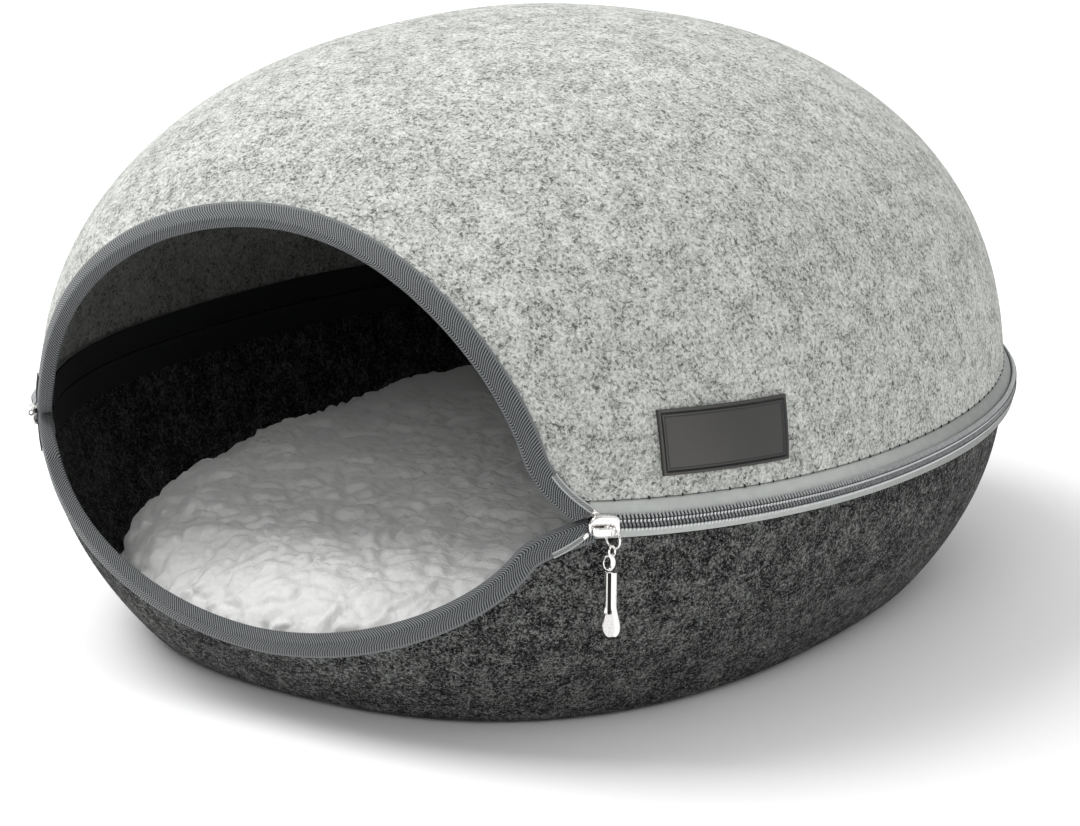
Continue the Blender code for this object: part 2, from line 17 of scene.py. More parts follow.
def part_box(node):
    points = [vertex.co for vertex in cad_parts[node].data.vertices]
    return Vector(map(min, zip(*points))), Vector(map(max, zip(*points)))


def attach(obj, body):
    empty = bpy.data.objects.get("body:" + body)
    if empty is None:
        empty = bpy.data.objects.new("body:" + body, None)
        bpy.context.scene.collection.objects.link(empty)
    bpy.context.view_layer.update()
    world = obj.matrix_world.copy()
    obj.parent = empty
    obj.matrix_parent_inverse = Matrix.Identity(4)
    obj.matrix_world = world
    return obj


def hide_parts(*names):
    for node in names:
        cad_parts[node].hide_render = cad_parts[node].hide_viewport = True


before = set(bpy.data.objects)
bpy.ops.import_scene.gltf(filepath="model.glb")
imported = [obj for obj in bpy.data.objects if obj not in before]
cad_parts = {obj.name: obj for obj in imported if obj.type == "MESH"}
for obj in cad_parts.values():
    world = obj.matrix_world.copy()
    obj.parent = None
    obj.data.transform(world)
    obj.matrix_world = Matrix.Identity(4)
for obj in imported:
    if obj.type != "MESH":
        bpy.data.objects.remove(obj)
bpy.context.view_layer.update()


# --- The camera, the floor and the studio light ---
# The camera stands to the right of the entrance and a little above it, with a long lens. A big soft box lights the
# front from the upper left, the white room fills in the rest, and the floor is plain and pale.

CAMERA_AZIMUTH = math.radians(34.80)
CAMERA_ELEVATION = math.radians(16.40)
CAMERA_ROLL = math.radians(-0.991)
CAMERA_DISTANCE = 1.8053
CAMERA_TARGET = Vector((0, 0, 0.1012))
CAMERA_LENS = 124.83
CAMERA_SHIFT = (0.00723, -0.03037)
FLOOR_SIZE = 14.0
FLOOR_COLOUR = (0.95, 0.95, 0.95)
ROOM_BRIGHT = 1.0  # brightness of the white wall behind the object
ROOM_DARK = 0.24  # and of the dark end of the room
ROOM_DARK_END = Vector((-0.1, -0.99, 0))
SoftBox = namedtuple("SoftBox", "name place size watts")
SOFT_BOXES = (
    SoftBox("soft_box_left", Vector((-1.5, -0.5, 2.4)), 1.7, 67),
    SoftBox("soft_box_front", Vector((0.9, -2.2, 1.7)), 1.2, 15),
)


class Flow:
    """A socket of a node tree. Sums on it add Math nodes, and node() adds any other node to its tree."""

    def __init__(self, tree, socket=None):
        self.tree, self.socket = tree, socket

    def node(self, kind, settings=(), inputs=(), output=0):
        made = self.tree.nodes.new(kind)
        for name, value in dict(settings).items():
            setattr(made, name, value)
        for name, value in dict(inputs).items():
            if isinstance(value, Flow):
                self.tree.links.new(value.socket, made.inputs[name])
            else:
                made.inputs[name].default_value = value
        return Flow(self.tree, made.outputs[output])

    def math(self, operation, *values):
        return self.node("ShaderNodeMath", {"operation": operation}, enumerate((self, *values)))

    def __add__(self, other):
        return self.math("ADD", other)

    def __mul__(self, other):
        return self.math("MULTIPLY", other)

    def __sub__(self, other):
        return self.math("SUBTRACT", other)

    def __truediv__(self, other):
        return self.math("DIVIDE", other)

    def __rsub__(self, other):
        return self * -1 + other

    def __pow__(self, other):
        return self.math("POWER", other)

    __radd__ = __add__
    __rmul__ = __mul__

    def size(self):
        return self.math("ABSOLUTE")

    def least(self, other):
        return self.math("MINIMUM", other)

    def most(self, other):
        return self.math("MAXIMUM", other)

    def wave(self):
        """A wave between 0 and 1, once for each whole number of the value."""
        return (self * (2 * math.pi)).math("COSINE") * 0.5 + 0.5

    def step(self, low, high):
        """0 below low and 1 above high, with a soft step between."""
        limits = {"Value": self, "From Min": low, "From Max": high}
        return self.node("ShaderNodeMapRange", {"interpolation_type": "SMOOTHSTEP"}, limits)

    def colour(self, off, on):
        """The colour off where the value is 0 and on where it is 1."""
        ends = [end if isinstance(end, Flow) else (*end, 1) for end in (off, on)]
        settings = {"data_type": "RGBA", "clamp_factor": True}
        return self.node("ShaderNodeMix", settings, {0: self, 6: ends[0], 7: ends[1]}, output=2)

    def noise(self, scale, detail=2.0, roughness=0.5, distortion=0.0):
        """Noise over this place, with so many lumps to the metre."""
        inputs = {"Vector": self, "Scale": scale, "Detail": detail, "Roughness": roughness}
        return self.node("ShaderNodeTexNoise", {}, {**inputs, "Distortion": distortion})

    def moved(self, by):
        """This vector, moved by another."""
        return self.node("ShaderNodeVectorMath", {"operation": "ADD"}, {0: self, 1: by})

    def stretched(self, by):
        """This vector, multiplied by another."""
        return self.node("ShaderNodeVectorMath", {"operation": "MULTIPLY"}, {0: self, 1: by})


def make_camera():
    a, e = CAMERA_AZIMUTH, CAMERA_ELEVATION
    back = Vector((math.sin(a) * math.cos(e), -math.cos(a) * math.cos(e), math.sin(e)))
    level = Vector((math.cos(a), math.sin(a), 0))
    upright = back.cross(level)
    right = level * math.cos(CAMERA_ROLL) + upright * math.sin(CAMERA_ROLL)
    camera = bpy.data.objects.new("camera", bpy.data.cameras.new("camera"))
    camera.matrix_world = Matrix.Translation(CAMERA_TARGET + back * CAMERA_DISTANCE) @ Matrix(
        (right, back.cross(right), back)
    ).transposed().to_4x4()
    camera.data.lens = CAMERA_LENS
    camera.data.sensor_width = 36
    camera.data.shift_x, camera.data.shift_y = CAMERA_SHIFT
    camera.data.clip_start, camera.data.clip_end = 0.05, 50
    bpy.context.scene.collection.objects.link(camera)
    bpy.context.scene.camera = camera


def make_soft_box(box):
    light = bpy.data.lights.new(box.name, "AREA")
    light.size = box.size
    light.energy = box.watts
    lamp = bpy.data.objects.new(box.name, light)
    lamp.matrix_world = Matrix.Translation(box.place) @ box.place.to_track_quat("Z", "Y").to_matrix().to_4x4()
    bpy.context.scene.collection.objects.link(lamp)


def make_floor():
    bm = bmesh.new()
    bmesh.ops.create_grid(bm, x_segments=4, y_segments=4, size=FLOOR_SIZE / 2)
    mesh = bpy.data.meshes.new("floor")
    bm.to_mesh(mesh)
    bm.free()
    paint = bpy.data.materials.new("pale floor")
    paint.use_nodes = True
    shader = paint.node_tree.nodes["Principled BSDF"]
    shader.inputs["Base Color"].default_value = (*FLOOR_COLOUR, 1)
    shader.inputs["Roughness"].default_value = 0.9
    shader.inputs["Specular IOR Level"].default_value = 0.1
    mesh.materials.append(paint)
    floor = bpy.data.objects.new("floor", mesh)
    bpy.context.scene.collection.objects.link(floor)


def make_room():
    """White behind and beside the object, dark before the entrance, where the studio's lights are off."""
    room = bpy.data.worlds.new("white room")
    room.use_nodes = True
    start = Flow(room.node_tree)
    way = start.node("ShaderNodeTexCoord", {}, {}, output="Generated")
    settings = {"operation": "DOT_PRODUCT"}
    facing = way.node("ShaderNodeVectorMath", settings, {0: way, 1: ROOM_DARK_END}, output="Value")
    strength = facing.step(-0.35, 0.75) * (ROOM_DARK - ROOM_BRIGHT) + ROOM_BRIGHT
    background = room.node_tree.nodes["Background"]
    background.inputs["Color"].default_value = (1, 1, 1, 1)
    start.tree.links.new(strength.socket, background.inputs["Strength"])
    bpy.context.scene.world = room


make_camera()
make_floor()
for soft_box in SOFT_BOXES:
    make_soft_box(soft_box)
make_room()
bpy.context.scene.view_settings.view_transform = "Standard"


# --- The felt dome ---
# One piece of light grey needled wool felt, 4 mm thick, pressed over a hot mould into the top half of an egg. The arch
# of the entrance is cut out of its front, and its lower edge is cut level for the zip.

HALF_WIDTH = 0.2148
HALF_LENGTH = 0.2454
SEAM_HEIGHT = 0.1012
CROWN_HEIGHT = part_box("dome_felt")[1].z
SEAM_FRONT_LIFT = 0.0090
SEAM_END_LIFT = 0.0038
PLAN_POWER = 2.157  # powers of the superellipses that the outlines follow: 2 is an ellipse, more is squarer
DOME_POWER = 2.241
END_FULLNESS = 0.030
EGG_MIDDLE = Vector((0, 0, SEAM_HEIGHT))
FELT = 0.0040
DOME_UNEVENNESS = 0.0007  # how far the pressed felt swells and dips
DOME_EDGE = 0.0095  # height of the felt's level edge above the seam
EDGE_ROW = 0.0095  # width of the even rows beside the cut edge, under the binding
EDGE_STEPS = 3
FRONT_COLUMNS = 96
BACK_COLUMNS = 150
COMMON_FROM = math.radians(47.0)
COLUMN_EASE = 0.4  # how much closer the columns stand beside the entrance than behind
DOME_ROWS = 44
NUDGE = 0.0002  # a small angle or run, over which a slope is measured
Cut = namedtuple("Cut", "half_width reach power flare flare_reach")
ENTRANCE_HEIGHT = 0.1070
ARCH = Cut(half_width=0.1385, reach=0.1150, power=2.0, flare=0.0135, flare_reach=0.0300)
DOME_FIBRES = 48000  # fibres to the square metre

FIBRE_LENGTH = 0.0024
FIBRE_WIDTH = 0.00030
FIBRE_BEND = 0.35  # how far a fibre bows, as a share of its length
FIBRE_LIFT = 0.00016
FIBRE_STEPS = 3
# inside: the share by which the faces that look into the egg are darkened, as painted shade.
FeltWool = namedtuple("FeltWool", "ground shade flecks fibres depth fleck_share fibre_share sheen inside")
LIGHT_WOOL = FeltWool(
    ground=(0.730, 0.745, 0.712),
    shade=(0.165, 0.176, 0.158),
    flecks=(0.060, 0.067, 0.059),
    fibres=(0.790, 0.800, 0.775),
    depth=0.8,
    fleck_share=0.80,
    fibre_share=0.50,
    sheen=0.12,
    inside=0.40,
)


def start_finish(name, roughness, metallic=0.0):
    """A new material, its shader and the start of its flows."""
    material = bpy.data.materials.new(name)
    material.use_nodes = True
    shader = material.node_tree.nodes["Principled BSDF"]
    shader.inputs["Roughness"].default_value = roughness
    shader.inputs["Metallic"].default_value = metallic
    return material, shader, Flow(material.node_tree)


def paint(shader, flow, name):
    flow.tree.links.new(flow.socket, shader.inputs[name])


def emboss(shader, height, distance, strength=1.0):
    """Raises the surface by a height between 0 and 1, times a distance."""
    bump = height.node("ShaderNodeBump", {}, {"Height": height, "Distance": distance, "Strength": strength})
    paint(shader, bump, "Normal")


def strands(place, scale, width, distortion=0.6):
    """Thin curling strands through a noise, as wide as that share of its lumps."""
    ridge = (place.noise(scale, detail=1.0, distortion=distortion) - 0.5).size()
    return 1 - ridge.step(width * 0.25, width)


def felt_finish(name, wool):
    """Needled wool: grain in patches, dark flecks in clusters, short curled ends of paler fibres, and painted shade on
    the faces that look into the egg.
    """
    material, shader, start = start_finish(name, roughness=0.95)
    shader.inputs["Specular IOR Level"].default_value = 0.10
    shader.inputs["Sheen Weight"].default_value = wool.sheen
    shader.inputs["Sheen Roughness"].default_value = 0.6
    place = start.node("ShaderNodeTexCoord", {}, {}, output="Object")
    grain = place.noise(540, detail=2.0, roughness=0.6).step(0.40, 0.60)
    dust = place.moved((0.5, 0.5, 0.2)).noise(1050, detail=1.0).step(0.40, 0.60)
    patches = place.moved((0.3, 0.7, 0.1)).noise(150, detail=2.0).step(0.38, 0.62)
    clouds = place.moved((0.6, 0.1, 0.9)).noise(45, detail=2.0).step(0.36, 0.64)
    flecks = place.moved((0.9, 0.2, 0.5)).noise(620, detail=1.0).step(0.56, 0.66)
    ends = strands(place.moved((0.1, 0.4, 0.8)), 420, 0.05)
    tone = grain * 0.38 + dust * 0.22 + patches * 0.24 + clouds * 0.16
    ground = (tone ** wool.depth).colour(wool.shade, wool.ground)
    flecked = (flecks * (1 - patches * 0.4) * wool.fleck_share).colour(ground, wool.flecks)
    # Painted shade: the faces marked inner are darkened, for the shadow inside the egg.
    inner = start.node("ShaderNodeAttribute", {"attribute_name": "inner"}, {}, output="Fac")
    colour = (ends * dust * wool.fibre_share).colour(flecked, wool.fibres)
    share = 1 - inner * wool.inside
    shaded_inside = colour.node("ShaderNodeVectorMath", {"operation": "SCALE"}, {0: colour, "Scale": share})
    paint(shader, shaded_inside, "Base Color")
    emboss(shader, grain * 0.45 + dust * 0.2 + ends * 0.3 - flecks * 0.35 + patches * 0.2, 0.0006, 0.7)
    return material


def superellipse(run, power):
    """(reach, rise) along a quarter superellipse, from (1, 0) at run 0 to (0, 1) at run 1."""
    turn = run * math.pi / 2
    return math.cos(turn) ** (2 / power), math.sin(turn) ** (2 / power)


def plan(angle, power):
    """The egg's outline seen from above."""
    sine, cosine = math.sin(angle), math.cos(angle)
    reach = (abs(sine) ** power + abs(cosine) ** power) ** (-1 / power)
    x, y = HALF_WIDTH * reach * sine, -HALF_LENGTH * reach * cosine
    return x * (1 + END_FULLNESS * ((y / HALF_LENGTH) ** 2 - 0.5)), y


def seam_height(angle):
    return SEAM_HEIGHT + SEAM_FRONT_LIFT * math.cos(angle) + SEAM_END_LIFT * math.cos(2 * angle)


def dome(angle, run):
    """The dome's outer face: run goes from 0 at the seam to 1 at the crown."""
    reach, rise = superellipse(run, DOME_POWER)
    x, y = plan(angle, PLAN_POWER)
    start = seam_height(angle)
    swell = DOME_UNEVENNESS * math.sin(math.pi * run) ** 2
    swell *= math.sin(3 * angle + 1.3) * math.sin(7 * run + 0.8) + 0.6 * math.sin(5 * angle - 6 * run)
    grown = 1 + swell / HALF_WIDTH
    return Vector((x * reach * grown, y * reach * grown, start + (CROWN_HEIGHT - start) * rise * grown))


def outward(face, angle, run):
    """A face's normal, pointing away from the egg's middle."""
    run = min(max(run, 10 * NUDGE), 1 - 10 * NUDGE)
    around = face(angle + NUDGE, run) - face(angle - NUDGE, run)
    along = face(angle, run + NUDGE) - face(angle, run - NUDGE)
    normal = around.cross(along).normalized()
    return normal if normal.dot(face(angle, run) - EGG_MIDDLE) > 0 else -normal


def crossing(measure, low, high):
    """Where a measure that is positive at low and not at high changes sign."""
    for _ in range(26):
        middle = (low + high) / 2
        low, high = (middle, high) if measure(middle) > 0 else (low, middle)
    return (low + high) / 2


def half_opening(cut, height):
    """Half the entrance's width at a height, or a negative number past its end."""
    away = (height - ENTRANCE_HEIGHT) / cut.reach
    if away >= 1:
        return 1 - away
    flare = cut.flare * max(0.0, 1 - away * abs(cut.reach) / cut.flare_reach) ** 2
    return cut.half_width * (1 - max(0.0, away) ** cut.power) ** (1 / cut.power) + flare


def cut_run(face, cut, angle):
    """The run at which a column of the face leaves the entrance, or 0 where it never enters."""

    def inside(run):
        point = face(angle, run)
        return half_opening(cut, point.z) - abs(point.x)

    return crossing(inside, 0.0, 0.97) if inside(0.0005) > 0 else 0.0


def edge_run(face, angle, clear):
    """The run at which a face is a given height clear of the seam."""
    return crossing(lambda run: clear - abs(face(angle, run).z - seam_height(angle)), 0.0, 0.5)


def corner_of(face, cut, clear):
    """The angle at which the entrance meets the felt's edge along the zip."""
    return crossing(lambda angle: cut_run(face, cut, angle) - edge_run(face, angle, clear), 0.3, 1.2)


def edge_frame(face, cut, angle):
    """A point of the entrance's edge, with the way along it, the way into the opening and the face's normal."""
    before, here, after = (face(at, cut_run(face, cut, at)) for at in (angle - NUDGE, angle, angle + NUDGE))
    along = (after - before).normalized()
    out = outward(face, angle, cut_run(face, cut, angle))
    into = out.cross(along) * (-1 if face is dome else 1)
    return here, along, into, out


def spot_beside(face, angle, run, step):
    """The angle and run of the face's nearest spot to a step away from one of its spots."""
    target = face(angle, run) + step
    for _ in range(4):
        here = face(angle, run)
        around = (face(angle + NUDGE, run) - here) / NUDGE
        along = (face(angle, run + NUDGE) - here) / NUDGE
        away = target - here
        shared = around.dot(along)
        scale = around.length_squared * along.length_squared - shared**2
        angle += (along.length_squared * around.dot(away) - shared * along.dot(away)) / scale
        run += (around.length_squared * along.dot(away) - shared * around.dot(away)) / scale
    return angle, run


def front_angles(corner, count):
    """Columns across the entrance, closest together at its corners."""
    return [corner * math.sin(math.pi * (step / count - 0.5)) for step in range(count + 1)]


def back_angles():
    """Columns round the back, from one side of the entrance to the other."""
    angles = []
    for step in range(BACK_COLUMNS + 1):
        share = step / BACK_COLUMNS
        share -= COLUMN_EASE * math.sin(2 * math.pi * share) / (2 * math.pi)
        angles.append(COMMON_FROM + share * (2 * math.pi - 2 * COMMON_FROM))
    return angles


def shell_columns(face, cut, clear, runs_after):
    """A shell's front and back columns: even rows square to its edge, then spots on the runs that follow."""
    corner = corner_of(face, cut, clear)
    front, back = [], []
    for angle in front_angles(corner, FRONT_COLUMNS):
        run = max(cut_run(face, cut, angle), edge_run(face, angle, clear))
        into = edge_frame(face, cut, angle)[2]
        steps = [into * (-EDGE_ROW * step / EDGE_STEPS) for step in range(1, EDGE_STEPS + 1)]
        front.append([(angle, run), *(spot_beside(face, angle, run, step) for step in steps)])
    between = (corner + COMMON_FROM) / 2
    for angle in [between, *back_angles(), -between]:
        heights = [clear + EDGE_ROW * step / EDGE_STEPS for step in range(EDGE_STEPS + 1)]
        back.append([(angle, edge_run(face, angle, height)) for height in heights])
    for column in front + back:
        angle, run = column[-1]
        column += [(angle, later) for later in runs_after(angle, run)]
    return front, back


def join_rings(bm, first, second, closed=True):
    count = len(first)
    for index in range(count if closed else count - 1):
        after = (index + 1) % count
        bm.faces.new((first[index], first[after], second[after], second[index]))


def mesh_of(name, bm, material, sharp_from=math.radians(45)):
    """The mesh of a finished bmesh, its faces turned outwards and shaded smooth."""
    bmesh.ops.recalc_face_normals(bm, faces=bm.faces)
    mesh = bpy.data.meshes.new(name)
    bm.to_mesh(mesh)
    bm.free()
    mesh.materials.append(material)
    mesh.shade_smooth()
    mesh.set_sharp_from_angle(angle=sharp_from)
    return mesh


def add_piece(mesh):
    piece = bpy.data.objects.new(mesh.name, mesh)
    bpy.context.scene.collection.objects.link(piece)
    return piece


def felt_shell(name, face, front, back, material):
    """A shell of felt, from columns of (angle, run) spots on its outer face. The back ones have a level edge."""
    bm = bmesh.new()
    sides = []
    for depth in (0.0, FELT):
        rows = []
        for column in front + back:
            rows.append([face(angle, run) - outward(face, angle, run) * depth for angle, run in column])
        for points, ((angle, run), *_) in zip(rows[len(front) :], back):
            down = face(angle, run + NUDGE) - face(angle, run)
            points[0] += down * ((face(angle, run).z - points[0].z) / down.z)
        pole = face(0, 1)
        towards_middle = Vector((0, 0, 1 if pole.z < SEAM_HEIGHT else -1))
        rings = [[bm.verts.new(point) for point in points] for points in rows]
        sides.append((rings, bm.verts.new(pole + towards_middle * depth)))
    for rings, pole in sides:
        for first, second in zip(rings, rings[1:] + rings[:1]):
            join_rings(bm, first, second, closed=False)
            bm.faces.new((first[-1], second[-1], pole))
    outer_edge, inner_edge = ([ring[0] for ring in rings] for rings, _ in sides)
    join_rings(bm, outer_edge, inner_edge)
    return mesh_of(name, bm, material)


def start_tree(name, sizes):
    """A new tree for a mesh, with named inputs for its sizes, and the flows from them."""
    tree = bpy.data.node_groups.new(name, "GeometryNodeTree")
    tree.interface.new_socket("Geometry", in_out="OUTPUT", socket_type="NodeSocketGeometry")
    tree.interface.new_socket("Geometry", in_out="INPUT", socket_type="NodeSocketGeometry")
    for size, value in sizes.items():
        socket = tree.interface.new_socket(size, in_out="INPUT", socket_type="NodeSocketFloat")
        socket.default_value = value
    entry = tree.nodes.new("NodeGroupInput")
    flows = {socket.name: Flow(tree, socket) for socket in entry.outputs if socket.name}
    return tree, flows


def end_tree(shape, material):
    """Ends a tree: its copies become plain mesh, and all of it gets its material."""
    plain = shape.node("GeometryNodeRealizeInstances", {}, {"Geometry": shape})
    coated = shape.node("GeometryNodeSetMaterial", {}, {"Geometry": plain, "Material": material})
    leave = shape.tree.nodes.new("NodeGroupOutput")
    shape.tree.links.new(coated.socket, leave.inputs[0])


def grow(tree, base, sizes=()):
    """The plain mesh that a tree makes of a base mesh, with sizes by the names of its inputs."""
    holder = bpy.data.objects.new(base.name, base)
    modifier = holder.modifiers.new("grow", "NODES")
    modifier.node_group = tree
    for item in tree.interface.items_tree:
        if item.in_out == "INPUT" and item.name in dict(sizes):
            modifier[item.identifier] = dict(sizes)[item.name]
    bpy.context.scene.collection.objects.link(holder)
    depsgraph = bpy.context.evaluated_depsgraph_get()
    mesh = bpy.data.meshes.new_from_object(
        holder.evaluated_get(depsgraph), preserve_all_data_layers=True, depsgraph=depsgraph
    )
    mesh.name = base.name
    bpy.data.objects.remove(holder)
    return mesh


def fibre_tree(name, material, density, seed):
    """Lays short bowed fibres on a mesh, turned at random, each a flat ribbon."""
    sizes = {"Density": density, "Length": FIBRE_LENGTH, "Width": FIBRE_WIDTH, "Lift": FIBRE_LIFT}
    tree, flows = start_tree(name, sizes)
    start = flows["Geometry"]
    spread = start.node("GeometryNodeDistributePointsOnFaces", {}, {"Mesh": start, "Density": flows["Density"]})
    spread.socket.node.inputs["Seed"].default_value = seed
    normal, facing = (Flow(tree, spread.socket.node.outputs[output]) for output in ("Normal", "Rotation"))
    lift = normal.node("ShaderNodeVectorMath", {"operation": "SCALE"}, {0: normal, "Scale": flows["Lift"]})
    points = start.node("GeometryNodeSetPosition", {}, {"Geometry": spread, "Offset": lift})
    half = flows["Length"] * 0.5
    ends = [start.node("ShaderNodeCombineXYZ", {}, {"X": half * way}) for way in (-1, 1)]
    bow = start.node("ShaderNodeCombineXYZ", {}, {"Y": flows["Length"] * FIBRE_BEND})
    path = start.node(
        "GeometryNodeCurveQuadraticBezier",
        {},
        {"Resolution": FIBRE_STEPS, "Start": ends[0], "Middle": bow, "End": ends[1]},
    )
    flat = start.node("GeometryNodeSetCurveNormal", {"mode": "Z_UP"}, {"Curve": path})
    edges = [start.node("ShaderNodeCombineXYZ", {}, {"X": flows["Width"] * way}) for way in (-0.5, 0.5)]
    width = start.node("GeometryNodeCurvePrimitiveLine", {}, {"Start": edges[0], "End": edges[1]})
    ribbon = start.node("GeometryNodeCurveToMesh", {}, {"Curve": flat, "Profile Curve": width})
    turn = start.node("FunctionNodeRandomValue", {"data_type": "FLOAT"}, {2: 0.0, 3: 2 * math.pi, "Seed": seed}, output=1)
    euler = start.node("ShaderNodeCombineXYZ", {}, {"Z": turn})
    spin = start.node("FunctionNodeEulerToRotation", {}, {0: euler})
    turned = start.node(
        "FunctionNodeRotateRotation", {"rotation_space": "LOCAL"}, {"Rotation": facing, "Rotate By": spin}
    )
    scale = start.node(
        "FunctionNodeRandomValue",
        {"data_type": "FLOAT_VECTOR"},
        {0: (0.5, -1.2, 1.0), 1: (1.4, 1.2, 1.0), "Seed": seed + 1},
    )
    copies = start.node(
        "GeometryNodeInstanceOnPoints",
        {},
        {"Points": points, "Instance": ribbon, "Rotation": turned, "Scale": scale},
    )
    end_tree(copies, material)
    return tree


def mark_shaded_inner_faces(piece):
    """Marks the faces of a shell that look inwards, which get painted shade for the dark inside of the egg."""
    mesh = piece.data
    layer = mesh.attributes.new("inner", "FLOAT", "FACE")
    marks = [1.0 if part.normal.dot(part.center - EGG_MIDDLE) < 0 else 0.0 for part in mesh.polygons]
    layer.data.foreach_set("value", marks)


def fibre_finish(name, pale, dark, dark_share):
    """Single fibres: pale ones, and some dark ones among them."""
    material, shader, start = start_finish(name, roughness=0.8)
    shader.inputs["Specular IOR Level"].default_value = 0.2
    place = start.node("ShaderNodeTexCoord", {}, {}, output="Object")
    kind = place.noise(75, detail=1.0).step(0.52 - dark_share, 0.54 - dark_share)
    tone = place.moved((0.2, 0.6, 0.4)).noise(160, detail=1.0).step(0.35, 0.65)
    paler = tone.colour(tuple(part * 0.6 for part in pale), pale)
    paint(shader, kind.colour(dark, paler), "Base Color")
    emboss(shader, tone, 0.00002)
    return material


def outer_face(piece, name):
    """A copy of the outer face of a shell that stands round the egg's middle."""
    bm = bmesh.new()
    bm.from_mesh(piece.data)
    inner = []
    for part in bm.faces:
        middle = part.calc_center_median()
        if part.normal.dot(middle - EGG_MIDDLE) < 0 or middle.z < FELT:
            inner.append(part)
    bmesh.ops.delete(bm, geom=inner, context="FACES")
    mesh = bpy.data.meshes.new(name)
    bm.to_mesh(mesh)
    bm.free()
    return mesh


def add_fibres(piece, name, material, density, seed):
    """Loose fibres on a shell of felt, as a piece of their own."""
    tree = fibre_tree(name, material, density, seed)
    fibres = add_piece(grow(tree, outer_face(piece, name)))
    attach(fibres, "root")


def dome_runs(_, start):
    return [start + (1 - start) * row / DOME_ROWS for row in range(1, DOME_ROWS)]


light_felt = felt_finish("light felt", LIGHT_WOOL)
dome_piece = add_piece(
    felt_shell("felt_dome", dome, *shell_columns(dome, ARCH, DOME_EDGE, dome_runs), light_felt)
)
mark_shaded_inner_faces(dome_piece)
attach(dome_piece, "root")
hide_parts("dome_felt")
light_fibres = fibre_finish("light felt fibres", (0.80, 0.81, 0.79), (0.28, 0.29, 0.28), dark_share=0.05)
add_fibres(dome_piece, "felt_dome_fibres", light_fibres, DOME_FIBRES, 3)


# --- The felt bowl ---
# The other half of the egg, pressed from charcoal felt with paler fibres in it. Its bottom is flat, with a soft rounded
# foot, and the lower half of the entrance is cut out of its front.

BOWL_DEPTH = 0.1770  # how far below the seam the bowl's curve would close, if the floor did not cut it
BASE_POWER = 2.533
BOWL_POWER = 1.960
BOWL_TUCK = 0.0756  # share of its width that the bowl loses on its way down
BOWL_SHIFT = 0.0065  # how far back the bottom of the bowl lies
BASE_FILLET = 0.0060
BOWL_UNEVENNESS = 0.0005
BOWL_EDGE = 0.0079  # depth of the felt's level edge below the seam
LIP = Cut(half_width=0.1355, reach=-0.0668, power=1.75, flare=0.0170, flare_reach=0.0135)
WALL_ROWS = 22
FILLET_ROWS = 6
BASE_ROWS = 10
BOWL_FIBRES = 170000
DARK_WOOL = FeltWool(
    ground=(0.236, 0.244, 0.235),
    shade=(0.003, 0.003, 0.003),
    flecks=(0.001, 0.001, 0.001),
    fibres=(0.330, 0.338, 0.328),
    depth=2.4,
    fleck_share=0.85,
    fibre_share=0.60,
    sheen=0.02,
    inside=0.30,
)


def bowl(angle, run):
    """The bowl's outer face: run goes from 0 at the seam to 1 at the middle of the flat base."""
    reach, sink = superellipse(run, BOWL_POWER)
    x, y = plan(angle, PLAN_POWER)
    base_x, base_y = plan(angle, BASE_POWER)
    x = (x + (base_x - x) * sink) * reach * (1 - BOWL_TUCK * sink)
    y = (y + (base_y - y) * sink) * reach + BOWL_SHIFT * sink
    start = seam_height(angle)
    height = start - (start - SEAM_HEIGHT + BOWL_DEPTH) * sink
    if height < BASE_FILLET:
        height = max(0.0, height + BASE_FILLET) ** 2 / (4 * BASE_FILLET)
    swell = BOWL_UNEVENNESS * math.sin(math.pi * min(1, 2.2 * run)) ** 2
    grown = 1 + swell * (math.sin(4 * angle + 0.4) + 0.6 * math.sin(7 * angle + 5 * run)) / HALF_WIDTH
    return Vector((x * grown, y * grown, height))


def bowl_runs(angle, start):
    """Down the wall, through the fillet at its foot, and across the flat base."""

    def run_at(height):
        sink = (seam_height(angle) - height) / (seam_height(angle) - SEAM_HEIGHT + BOWL_DEPTH)
        return math.asin(sink ** (BOWL_POWER / 2)) * 2 / math.pi

    foot = run_at(BASE_FILLET)
    wall = [start + (foot - start) * row / WALL_ROWS for row in range(1, WALL_ROWS)]
    drop = 2 * BASE_FILLET / FILLET_ROWS
    fillet = [run_at(BASE_FILLET - drop * row) for row in range(FILLET_ROWS + 1)]
    base = [fillet[-1] + (1 - fillet[-1]) * row / BASE_ROWS for row in range(1, BASE_ROWS)]
    return [*wall, *fillet, *base]


dark_felt = felt_finish("dark felt", DARK_WOOL)
bowl_piece = add_piece(
    felt_shell("felt_bowl", bowl, *shell_columns(bowl, LIP, BOWL_EDGE, bowl_runs), dark_felt)
)
mark_shaded_inner_faces(bowl_piece)
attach(bowl_piece, "root")
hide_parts("bowl_felt")
dark_fibres = fibre_finish("dark felt fibres", (0.235, 0.24, 0.23), (0.01, 0.01, 0.01), dark_share=0.03)
add_fibres(bowl_piece, "felt_bowl_fibres", dark_fibres, BOWL_FIBRES, 5)


# --- The bound edge of the entrance ---
# A grey twill tape, folded over the felt's cut edge and sewn through. One length goes over the arch and one round the
# lip. Its ribs meet in a V on the fold, and its selvages are flatter, paler and closer woven.

TAPE = 0.0008
EASE = 0.0004  # inside the fold, round the felt
BINDING_LEG = 0.0085
BINDING_BOW = 5.0  # one over the radius that the legs follow
BINDING_TAIL_STEPS = 40
ARCH_BINDING_END = 0.1096  # height at which the upper tape stops, level, over the zip
LIP_BINDING_END = math.radians(44.2)
RIB_PITCH = 0.00130
RIB_HEIGHT = 0.00015
RIB_STEPS = 3  # sections of the mesh for each rib
FOLD_SLANT = 1.0  # how far a rib leans along the tape, for each metre across it
LEG_SLANT = 0.50
FOLD_REACH = 0.0044
RIB_SHIFT = -0.0030  # how far the middle of the herringbone lies to one side of the fold
SELVAGE_FROM = 0.0106  # distance from the middle of the fold
BINDING_LIGHT = (0.345, 0.366, 0.378)
BINDING_SHADE = (0.010, 0.011, 0.012)
BINDING_SELVAGE = (0.240, 0.252, 0.258)


